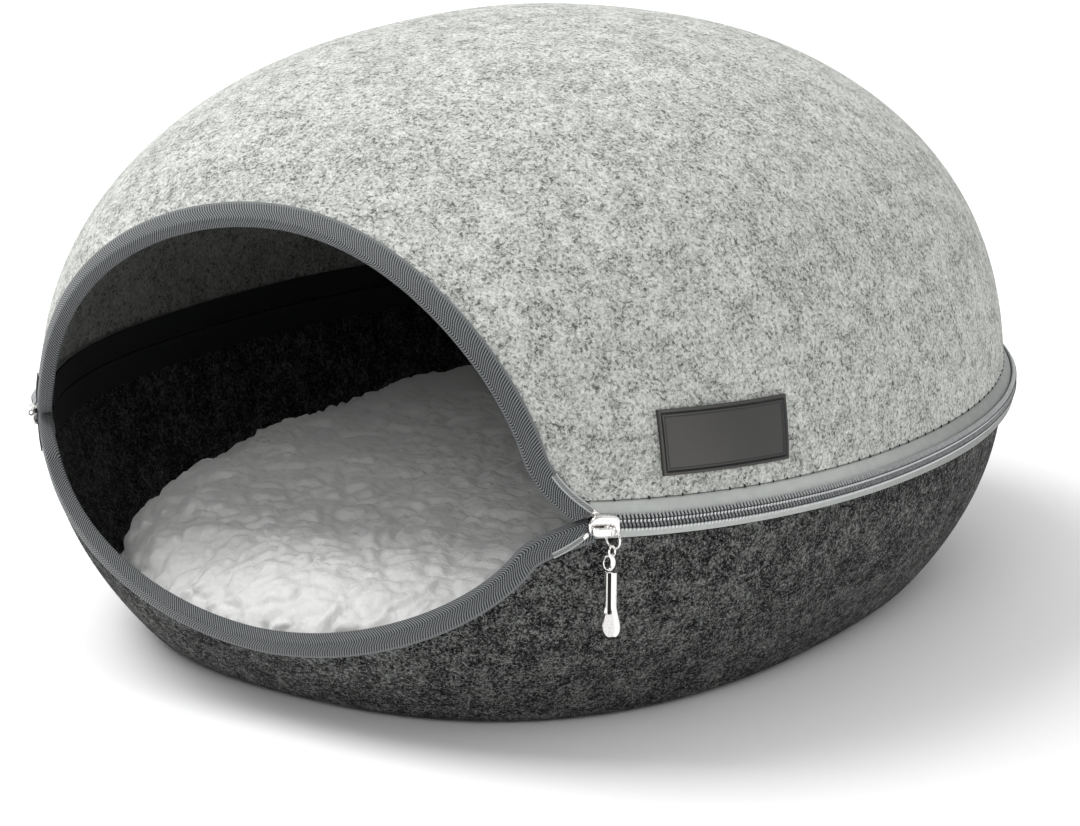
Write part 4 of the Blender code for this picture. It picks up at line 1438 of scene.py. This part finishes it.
def slider_mesh(name, place, material):
    """The slider's plate and flanges as one casting: a shield shape with a round nose, and soft edges in front."""
    middle, along, out, up = place
    reach = (SLIDER_END - SLIDER_NOSE) / 2
    levels = [(SLIDER_BACK, SLIDER_ROUNDING / 2), (SLIDER_BACK + SLIDER_ROUNDING / 2, 0.0)]
    for step in range(6):
        turn = math.pi / 2 * step / 5
        inset = SLIDER_ROUNDING * (1 - math.cos(turn))
        levels.append((SLIDER_FRONT - SLIDER_ROUNDING * (1 - math.sin(turn)), inset))
    bm = bmesh.new()
    rings = []
    for level, inset in levels:
        ring = []
        for step in range(SLIDER_SIDES):
            turn = 2 * math.pi * step / SLIDER_SIDES
            cosine, sine = math.cos(turn), math.sin(turn)
            power = 2 / SLIDER_CORNER_POWERS[0 if cosine < 0 else 1]
            x = math.copysign(abs(cosine) ** power, cosine) * (reach - inset) + (SLIDER_NOSE + SLIDER_END) / 2
            y = math.copysign(abs(sine) ** power, sine) * (SLIDER_HALF - inset)
            y *= 1 - SLIDER_TAPER * max(0.0, x / SLIDER_END) ** 2
            ring.append(bm.verts.new(middle + along * x + out * level + up * y))
        rings.append(ring)
    for first, second in zip(rings, rings[1:]):
        join_rings(bm, first, second)
    bm.faces.new(rings[0])
    bm.faces.new(rings[-1])
    return mesh_of(name, bm, material, sharp_from=math.radians(60))


def rounded_rectangle(width, height, corner):
    """The outline of a rectangle with round corners, about its middle."""
    points = []
    for turn, x, y in ((0, 1, 1), (1, -1, 1), (2, -1, -1), (3, 1, -1)):
        middle = Vector((x * (width / 2 - corner), y * (height / 2 - corner)))
        for step in range(4):
            at = (turn + step / 3) * math.pi / 2
            points.append(middle + Vector((math.cos(at), math.sin(at))) * corner)
    return points


def bridge_mesh(name, place, rise, material):
    """A strap that rises from the slider's plate, runs over it and goes down again."""
    middle, along, out, up = place
    spots = []
    for step in range(BRIDGE_STEPS + 1):
        turn = math.pi * (1 - step / BRIDGE_STEPS)
        reach = math.copysign(abs(math.cos(turn)) ** 0.55, math.cos(turn))
        spots.append(Vector((BRIDGE_HALF_SPAN * reach, BRIDGE_FOOT + rise * math.sin(turn) ** 0.75)))
    sections = []
    for index, spot in enumerate(spots):
        way = (spots[min(index + 1, BRIDGE_STEPS)] - spots[max(index - 1, 0)]).normalized()
        normal = along * -way.y + out * way.x
        centre = middle + along * spot.x + out * spot.y - up * BRIDGE_DROP
        outline = rounded_rectangle(*BRIDGE_SIZE, BRIDGE_CORNER)
        sections.append([centre + normal * point.x + up * point.y for point in outline])
    return sweep(name, sections, [0.0] * len(sections[0]), material)


for side, side_name in ((1, "right"), (-1, "left")):
    slider = slider_place(side)
    slider_piece = add_piece(slider_mesh(f"slider_{side_name}_cast", slider, bright_metal))
    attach(slider_piece, "root")
    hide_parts(f"slider_{side_name}")
    bridge_piece = add_piece(bridge_mesh(f"bridge_{side_name}_cast", slider, BRIDGE_RISES[side], bright_metal))
    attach(bridge_piece, "root")
    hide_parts(f"slider_bridge_{side_name}")


# --- The pull ---
# A wire ring through the right slider's bridge, a small jump ring, and a cast pendant: an eye with one broad side, a
# stem with a groove beside a round bar, and a spade-shaped end with an oval facet. All hang.

WIRE = 0.0005
RING_RADIUS = 0.0044
RING_ALONG = 0.0034
RING_OUT = 0.0056
RING_DROP = 0.0043
RING_TURN = math.radians(25)
JUMP_HALVES = (0.0015, 0.0023)
JUMP_SHIFT = -0.0005
EYE_SHIFT = -0.0026  # middle of the eye's hole, along and down from the ring's lowest point
EYE_DROP = 0.0062
EYE_HOLE = (0.0013, 0.0026)
EYE_WALLS = (0.0008, 0.0024)  # its thin side and its broad side
EYE_DEPTH = 0.0008
PENDANT_SHIFT = -0.0008
PENDANT_DROP = 0.0100
PENDANT_LENGTH = 0.0295
PENDANT_LEAN = 0.0006
PENDANT_STEM = 0.0027  # half widths of the stem and of the blade
PENDANT_BLADE = 0.0043
PENDANT_FLARE = (0.0150, 0.0248)  # where the stem begins to flare, and where the blade is widest
PENDANT_BACK = -0.0006
PENDANT_FLOOR = 0.0002
PENDANT_FACET = 0.0013
PENDANT_GRID = (36, 96)
WIRE_STEPS = 72
WIRE_SIDES = 14


def wire_ring(name, middle, across, up, halves, radius, material):
    """A closed oval ring of round wire, in the plane of two directions."""
    normal = across.cross(up)
    bm = bmesh.new()
    rings = []
    for step in range(WIRE_STEPS):
        turn = 2 * math.pi * step / WIRE_STEPS
        point = middle + across * (math.cos(turn) * halves[0]) + up * (math.sin(turn) * halves[1])
        aside = (across * (math.cos(turn) * halves[1]) + up * (math.sin(turn) * halves[0])).normalized()
        turns = [2 * math.pi * side / WIRE_SIDES for side in range(WIRE_SIDES)]
        spokes = [aside * math.cos(round_it) + normal * math.sin(round_it) for round_it in turns]
        rings.append([bm.verts.new(point + spoke * radius) for spoke in spokes])
    for first, second in zip(rings, rings[1:] + rings[:1]):
        join_rings(bm, first, second)
    return mesh_of(name, bm, material)


def add_eye(bm, middle, along, out, up):
    """The pendant's eye: an oval ring, thin on its left and broad on its right."""
    rings = []
    for step in range(WIRE_STEPS):
        turn = 2 * math.pi * step / WIRE_STEPS
        wall = EYE_WALLS[0] + (EYE_WALLS[1] - EYE_WALLS[0]) * max(0.0, math.cos(turn)) ** 0.6
        hole = middle + along * (math.cos(turn) * EYE_HOLE[0]) + up * (math.sin(turn) * EYE_HOLE[1])
        aside = (along * (math.cos(turn) * EYE_HOLE[1]) + up * (math.sin(turn) * EYE_HOLE[0])).normalized()
        ring = []
        for side in range(WIRE_SIDES):
            spin = 2 * math.pi * side / WIRE_SIDES
            ring.append(bm.verts.new(
                hole + aside * (wall / 2 + math.cos(spin) * wall / 2) + out * (math.sin(spin) * EYE_DEPTH)
            ))
        rings.append(ring)
    for first, second in zip(rings, rings[1:] + rings[:1]):
        join_rings(bm, first, second)


def pendant_height(x, drop):
    """The front's height over the pendant's plane: a round bar, a rim beside its groove, and the oval facet."""
    low = min(1.0, max(0.0, (drop - 0.0165) / 0.0080))
    bar_middle, bar_half = 0.0009 + 0.0013 * low, 0.0015 + 0.0004 * low
    bar = 0.0015 * math.sqrt(max(0.0, 1 - ((x - bar_middle) / bar_half) ** 2))
    rim = 0.0010 * math.sqrt(max(0.0, 1 - ((x + 0.0021) / 0.0004) ** 2)) if drop < 0.0185 else 0.0
    away = ((x + 0.0013) / 0.0030) ** 2 + ((drop - 0.0240) / 0.0056) ** 2
    facet = PENDANT_FACET if away < 1 else 0.0
    return max(bar, rim, facet, PENDANT_FLOOR)


def pendant_half(drop):
    """Half the pendant's width: a straight stem, a flare, and a round end."""
    flare_from, widest = PENDANT_FLARE
    if drop > widest:
        return PENDANT_BLADE * math.sqrt(max(0.0, 1 - ((drop - widest) / (PENDANT_LENGTH - widest)) ** 2))
    flared = max(0.0, (drop - flare_from) / (widest - flare_from))
    return PENDANT_STEM + (PENDANT_BLADE - PENDANT_STEM) * math.sin(math.pi / 2 * flared) ** 2


def add_pendant(bm, top, along, out, up):
    """The pendant's blade. Its vertices keep how much painted shade they get: full in the groove, a little on the oval
    facet.
    """
    deep = bm.verts.layers.float.new("deep")
    columns, rows = PENDANT_GRID
    fronts, backs = [], []
    for row in range(rows + 1):
        drop = PENDANT_LENGTH * (1 - (1 - row / rows) ** 1.7)
        half = max(0.0002, pendant_half(drop))
        front, back = [], []
        for column in range(columns + 1):
            x = half * (2 * column / columns - 1)
            edge = 0.35 + 0.65 * min(1.0, min(column, columns - column) / 2.0)
            end = min(1.0, min(drop, PENDANT_LENGTH - drop) / 0.0004) ** 0.5
            height = PENDANT_BACK + (pendant_height(x, drop) - PENDANT_BACK) * edge * end
            place = top + along * (x - PENDANT_LEAN * drop / PENDANT_LENGTH) - up * drop
            front.append(bm.verts.new(place + out * height))
            # Painted shade in the groove, and a little on the oval facet for its darker reflection.
            groove = -0.0018 < x < -0.0004 and 0.0008 < drop < 0.0190
            facet = pendant_height(x, drop) == PENDANT_FACET
            front[-1][deep] = 1.0 if groove else 0.22 if facet else 0.0
            back.append(bm.verts.new(place + out * (PENDANT_BACK - 0.0001)))
        fronts.append(front)
        backs.append(back)
    for sheet in (fronts, backs):
        for first, second in zip(sheet, sheet[1:]):
            join_rings(bm, first, second, closed=False)
    for end in (0, -1):
        join_rings(bm, fronts[end], backs[end], closed=False)
        join_rings(bm, [row[end] for row in fronts], [row[end] for row in backs], closed=False)


slider_middle, along, out, up = slider_place(1)
ring_middle = slider_middle + along * RING_ALONG + out * RING_OUT - up * RING_DROP
across = along * math.sin(RING_TURN) + out * math.cos(RING_TURN)
ring = wire_ring("pull_ring_wire", ring_middle, across, up, (RING_RADIUS, RING_RADIUS), WIRE, bright_metal)
ring_foot = ring_middle - up * RING_RADIUS
jump = wire_ring(
    "pull_link_wire",
    ring_foot + along * JUMP_SHIFT - up * (JUMP_HALVES[1] - 2 * WIRE),
    (along - out * 0.3).normalized(),
    up,
    JUMP_HALVES,
    WIRE,
    bright_metal,
)
pendant_bm = bmesh.new()
add_pendant(pendant_bm, ring_foot + along * PENDANT_SHIFT - up * PENDANT_DROP, along, out, up)
add_eye(pendant_bm, ring_foot + along * EYE_SHIFT - up * EYE_DROP, along, out, up)
pendant = mesh_of("pull_pendant_cast", pendant_bm, bright_metal, sharp_from=math.radians(40))
for mesh, node in ((ring, "pull_ring"), (jump, "pull_link"), (pendant, "pull_pendant")):
    pull_piece = add_piece(mesh)
    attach(pull_piece, "root")
    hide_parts(node)


# --- The label ---
# A bare tag of dark soft rubber, moulded with two raised borders, sewn on the dome beside the entrance.

LABEL_START, LABEL_END = math.radians(52.1), math.radians(68.0)
LABEL_FOOT = 0.0185
LABEL_HEIGHT = 0.0277
LABEL_LENGTH = 0.0663
LABEL_THICKNESS = 0.0014
LABEL_CORNER = 0.0009
LABEL_LEANS = ((0.0004, -0.0011), (-0.0017, -0.0004))  # shift of each end's foot and top along the seam
LABEL_STEPS = (150, 72)
RUBBER_COLOUR = (0.064, 0.062, 0.059)
RUBBER_SHADE = (0.026, 0.025, 0.024)
RUBBER_GROOVE_SHADE = (0.008, 0.008, 0.008)
Border = namedtuple("Border", "middle half_width rise")
LABEL_BORDERS = (Border(0.00085, 0.00062, 0.00085), Border(0.00240, 0.00036, 0.00060))
LABEL_GROOVE = 0.0034  # distance in from the edge at which the field begins
LABEL_GROOVE_DEPTH = 0.0003


def label_rise(inset):
    """The height of the label's face over its field, at a distance in from its edge."""
    rise = 0.0
    for border in LABEL_BORDERS:
        away = abs(inset - border.middle) / border.half_width
        rise = max(rise, border.rise * (1 - min(1.0, away) ** 4))
    if inset < LABEL_GROOVE:
        rise -= LABEL_GROOVE_DEPTH * (1 - (inset / LABEL_GROOVE) ** 12)
    return rise


def make_label(material):
    columns, rows = LABEL_STEPS
    bm = bmesh.new()
    deep, painted_sheen = (bm.verts.layers.float.new(name) for name in ("deep", "painted_sheen"))
    fronts, backs = [], []
    for column in range(columns + 1):
        along = LABEL_LENGTH * column / columns
        front, back = [], []
        for row in range(rows + 1):
            up = LABEL_HEIGHT * row / rows
            leans = [foot + (top - foot) * row / rows for foot, top in LABEL_LEANS]
            share = (along + leans[0] + (leans[1] - leans[0]) * column / columns) / LABEL_LENGTH
            angle = LABEL_START + (LABEL_END - LABEL_START) * share
            run = edge_run(dome, angle, LABEL_FOOT + up)
            point, out = dome(angle, run), outward(dome, angle, run)
            inset = min(along, LABEL_LENGTH - along, up, LABEL_HEIGHT - up)
            back.append(bm.verts.new(point + out * GAP))
            rise = label_rise(inset)
            front.append(bm.verts.new(point + out * (GAP + LABEL_THICKNESS + rise)))
            # Painted shade in the groove, and a painted sheen that fades towards the right end and the top.
            front[-1][deep] = min(1.0, max(0.0, -rise / LABEL_GROOVE_DEPTH * 1.3))
            front[-1][painted_sheen] = 1 - column / columns - 0.18 * row / rows
        fronts.append(front)
        backs.append(back)
    for sheet in (backs, fronts):
        for first, second in zip(sheet, sheet[1:]):
            join_rings(bm, first, second, closed=False)
    for back, front in ((backs[0], fronts[0]), (backs[-1], fronts[-1])):
        join_rings(bm, back, front, closed=False)
    for end in (0, -1):
        join_rings(bm, [row[end] for row in backs], [row[end] for row in fronts], closed=False)
    return mesh_of("label_rubber", bm, material, sharp_from=math.radians(60))


def rubber_finish():
    """Dark soft rubber with a satin skin and a fine moulded grain, a painted sheen lighter towards its left end, and
    painted shade in its groove.
    """
    material, shader, start = start_finish("grey rubber", roughness=0.45)
    shader.inputs["Specular IOR Level"].default_value = 0.55
    place = start.node("ShaderNodeTexCoord", {}, {}, output="Object")
    grain = place.noise(2600, detail=2.0).step(0.3, 0.7)
    cloud = place.noise(60, detail=2.0).step(0.3, 0.7)
    deep, painted_sheen = (
        start.node("ShaderNodeAttribute", {"attribute_name": name}, {}, output="Fac") for name in ("deep", "painted_sheen")
    )
    # Painted sheen, lighter towards the left end, and painted shade in the groove.
    skin = (painted_sheen.step(0.15, 0.85) * 0.75 + cloud * 0.10 + grain * 0.15).colour(RUBBER_SHADE, RUBBER_COLOUR)
    paint(shader, deep.colour(skin, RUBBER_GROOVE_SHADE), "Base Color")
    paint(shader, 0.40 + grain * 0.12 + cloud * 0.06, "Roughness")
    emboss(shader, grain, 0.00004)
    return material


grey_rubber = rubber_finish()
label_piece = add_piece(make_label(grey_rubber))
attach(label_piece, "root")
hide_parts("label")


# --- The cushion ---
# A loose cushion of white curly fleece, filled with wadding, that lies on the bowl's floor. Its rim is soft and round,
# its top is a little sunken, and the pile stands in small curls and tufts.

CUSHION_VOXEL = 0.0060
CUSHION_START = Vector((1.020, 1.020, 0.90))  # its shape before it is filled, as shares of the solid
CUSHION_PRESSURE = 4.0
CUSHION_FRAMES = 20
CUSHION_CAP = 0.006
CUSHION_CLEAR = 0.0006  # room that is left between the cushion and the bowl
PILE_ABOVE = 0.012  # height over the floor from which the pile stands up
PILE_BACK = 0.07  # behind this the pile's faces stay large
PILE_DROOP = Vector((1, 1, 0.4))  # stretches the tufts downwards where they hang over the rim
Tufts = namedtuple("Tufts", "scale height shift")
TUFTS = (
    Tufts(scale=30.0, height=0.0030, shift=Vector((0, 0, 0))),
    Tufts(scale=66.0, height=0.0036, shift=Vector((5, 2, 9))),
    Tufts(scale=150.0, height=0.0010, shift=Vector((3, 1, 7))),
)
TUFT_WARP = 0.009
FLEECE_COLOUR = (0.97, 0.97, 0.955)
FLEECE_SHADE = (0.88, 0.88, 0.865)


def padded_copy(node, name, material):
    """A CAD cushion's shape, a little wider and lower than the solid, remeshed evenly."""
    bm = bmesh.new()
    bm.from_mesh(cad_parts[node].data)
    bmesh.ops.remove_doubles(bm, verts=bm.verts, dist=1e-6)
    low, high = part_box(node)
    middle = (low + high) / 2
    bmesh.ops.scale(bm, vec=CUSHION_START, verts=bm.verts, space=Matrix.Translation(-middle))
    pad = add_piece(mesh_of(name, bm, material))
    remesh = pad.modifiers.new("remesh", "REMESH")
    remesh.mode = "VOXEL"
    remesh.voxel_size = CUSHION_VOXEL
    apply_modifiers(pad)
    return pad


def apply_modifiers(piece):
    depsgraph = bpy.context.evaluated_depsgraph_get()
    mesh = bpy.data.meshes.new_from_object(piece.evaluated_get(depsgraph), depsgraph=depsgraph)
    piece.modifiers.clear()
    mesh.name = piece.name
    piece.data = mesh


def inflate(pad):
    """Blows the cushion up with cloth simulation, and caps how far any point moves."""
    rest = np.array([vert.co for vert in pad.data.vertices])
    cloth = pad.modifiers.new("cloth", "CLOTH")
    cloth.settings.use_pressure = True
    cloth.settings.uniform_pressure_force = CUSHION_PRESSURE
    cloth.settings.effector_weights.gravity = 0
    scene = bpy.context.scene
    cloth.point_cache.frame_start, cloth.point_cache.frame_end = 1, CUSHION_FRAMES
    for number in range(1, CUSHION_FRAMES + 1):
        scene.frame_set(number)
    apply_modifiers(pad)
    moved = np.array([vert.co for vert in pad.data.vertices]) - rest
    lengths = np.linalg.norm(moved, axis=1, keepdims=True)
    capped = rest + moved * np.minimum(1, CUSHION_CAP / np.maximum(lengths, 1e-9))
    pad.data.vertices.foreach_set("co", capped.ravel())
    scene.frame_set(1)


def keep_inside(pad):
    """Pushes back the points that came into the bowl's wall or through its floor."""
    bm = bmesh.new()
    bm.from_mesh(bowl_piece.data)
    outer = [part for part in bm.faces if part.normal.dot(part.calc_center_median() - EGG_MIDDLE) > 0]
    bmesh.ops.delete(bm, geom=outer, context="FACES")
    wall = BVHTree.FromBMesh(bm)
    bm.free()
    for vert in pad.data.vertices:
        spot, normal = wall.find_nearest(vert.co)[:2]
        room = (vert.co - spot).dot(normal)
        if room < CUSHION_CLEAR:
            vert.co += normal * (CUSHION_CLEAR - room)


def split_top(pad):
    """Splits the faces that the pile stands on, and leaves the ones on the floor large."""
    bm = bmesh.new()
    bm.from_mesh(pad.data)
    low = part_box("cushion")[0].z
    edges = []
    for edge in bm.edges:
        if min(vert.co.z for vert in edge.verts) > low + PILE_ABOVE:
            if max(vert.co.y for vert in edge.verts) < PILE_BACK:
                edges.append(edge)
    bmesh.ops.subdivide_edges(bm, edges=edges, cuts=1, use_grid_fill=True, smooth=0.0)
    bm.to_mesh(pad.data)
    bm.free()


def tuft_rise(place):
    """How far the pile stands out at a place: tufts of three sizes, packed together."""
    warp = noise.noise_vector(place * 75.0) * TUFT_WARP
    place = place * PILE_DROOP
    rise = 0.0
    for tufts in TUFTS:
        near, next_near = noise.voronoi((place + warp) * tufts.scale + tufts.shift)[0][:2]
        rise += tufts.height * (min(1.0, (next_near - near) * 1.6) ** 0.5 - 0.5)
    return rise


def raise_pile(pad):
    """Moves the fleece's points out in tufts. What lies on the floor stays flat."""
    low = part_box("cushion")[0].z
    points = []
    for vert in pad.data.vertices:
        above = min(1.0, max(0.0, (vert.co.z - low) / (2 * PILE_ABOVE)))
        points.append(vert.co + vert.normal * (tuft_rise(vert.co) * above))
    for vert, point in zip(pad.data.vertices, points):
        vert.co = point


def fleece_finish():
    """White curly pile with fine curled hair: paler on its clumps, and greyer between them as painted shade."""
    material, shader, start = start_finish("white fleece", roughness=1.0)
    shader.inputs["Specular IOR Level"].default_value = 0.1
    shader.inputs["Sheen Weight"].default_value = 1.0
    shader.inputs["Sheen Roughness"].default_value = 0.5
    shader.inputs["Subsurface Weight"].default_value = 0.35
    shader.inputs["Subsurface Radius"].default_value = (0.006, 0.006, 0.006)
    shader.inputs["Subsurface Scale"].default_value = 0.5
    place = start.node("ShaderNodeTexCoord", {}, {}, output="Object").stretched(PILE_DROOP)
    hair = strands(place, 330, 0.12, distortion=1.2)
    fine = strands(place.moved((0.4, 0.9, 0.2)), 700, 0.15, distortion=1.0)
    clumps = place.noise(160, detail=3.0).step(0.3, 0.7)
    # Painted shade: the pile is greyer between its clumps and curled hairs.
    tone = clumps * 0.35 + hair * 0.3 + fine * 0.2 + 0.25
    paint(shader, tone.colour(FLEECE_SHADE, FLEECE_COLOUR), "Base Color")
    emboss(shader, hair * 0.08 + clumps * 0.8, 0.0010, 0.6)
    return material


white_fleece = fleece_finish()
cushion_piece = padded_copy("cushion", "cushion_fleece", white_fleece)
inflate(cushion_piece)
finer = cushion_piece.modifiers.new("finer", "SUBSURF")
finer.levels = finer.render_levels = 1
apply_modifiers(cushion_piece)
split_top(cushion_piece)
raise_pile(cushion_piece)
keep_inside(cushion_piece)
cushion_piece.data.shade_smooth()
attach(cushion_piece, "root")
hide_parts("cushion")
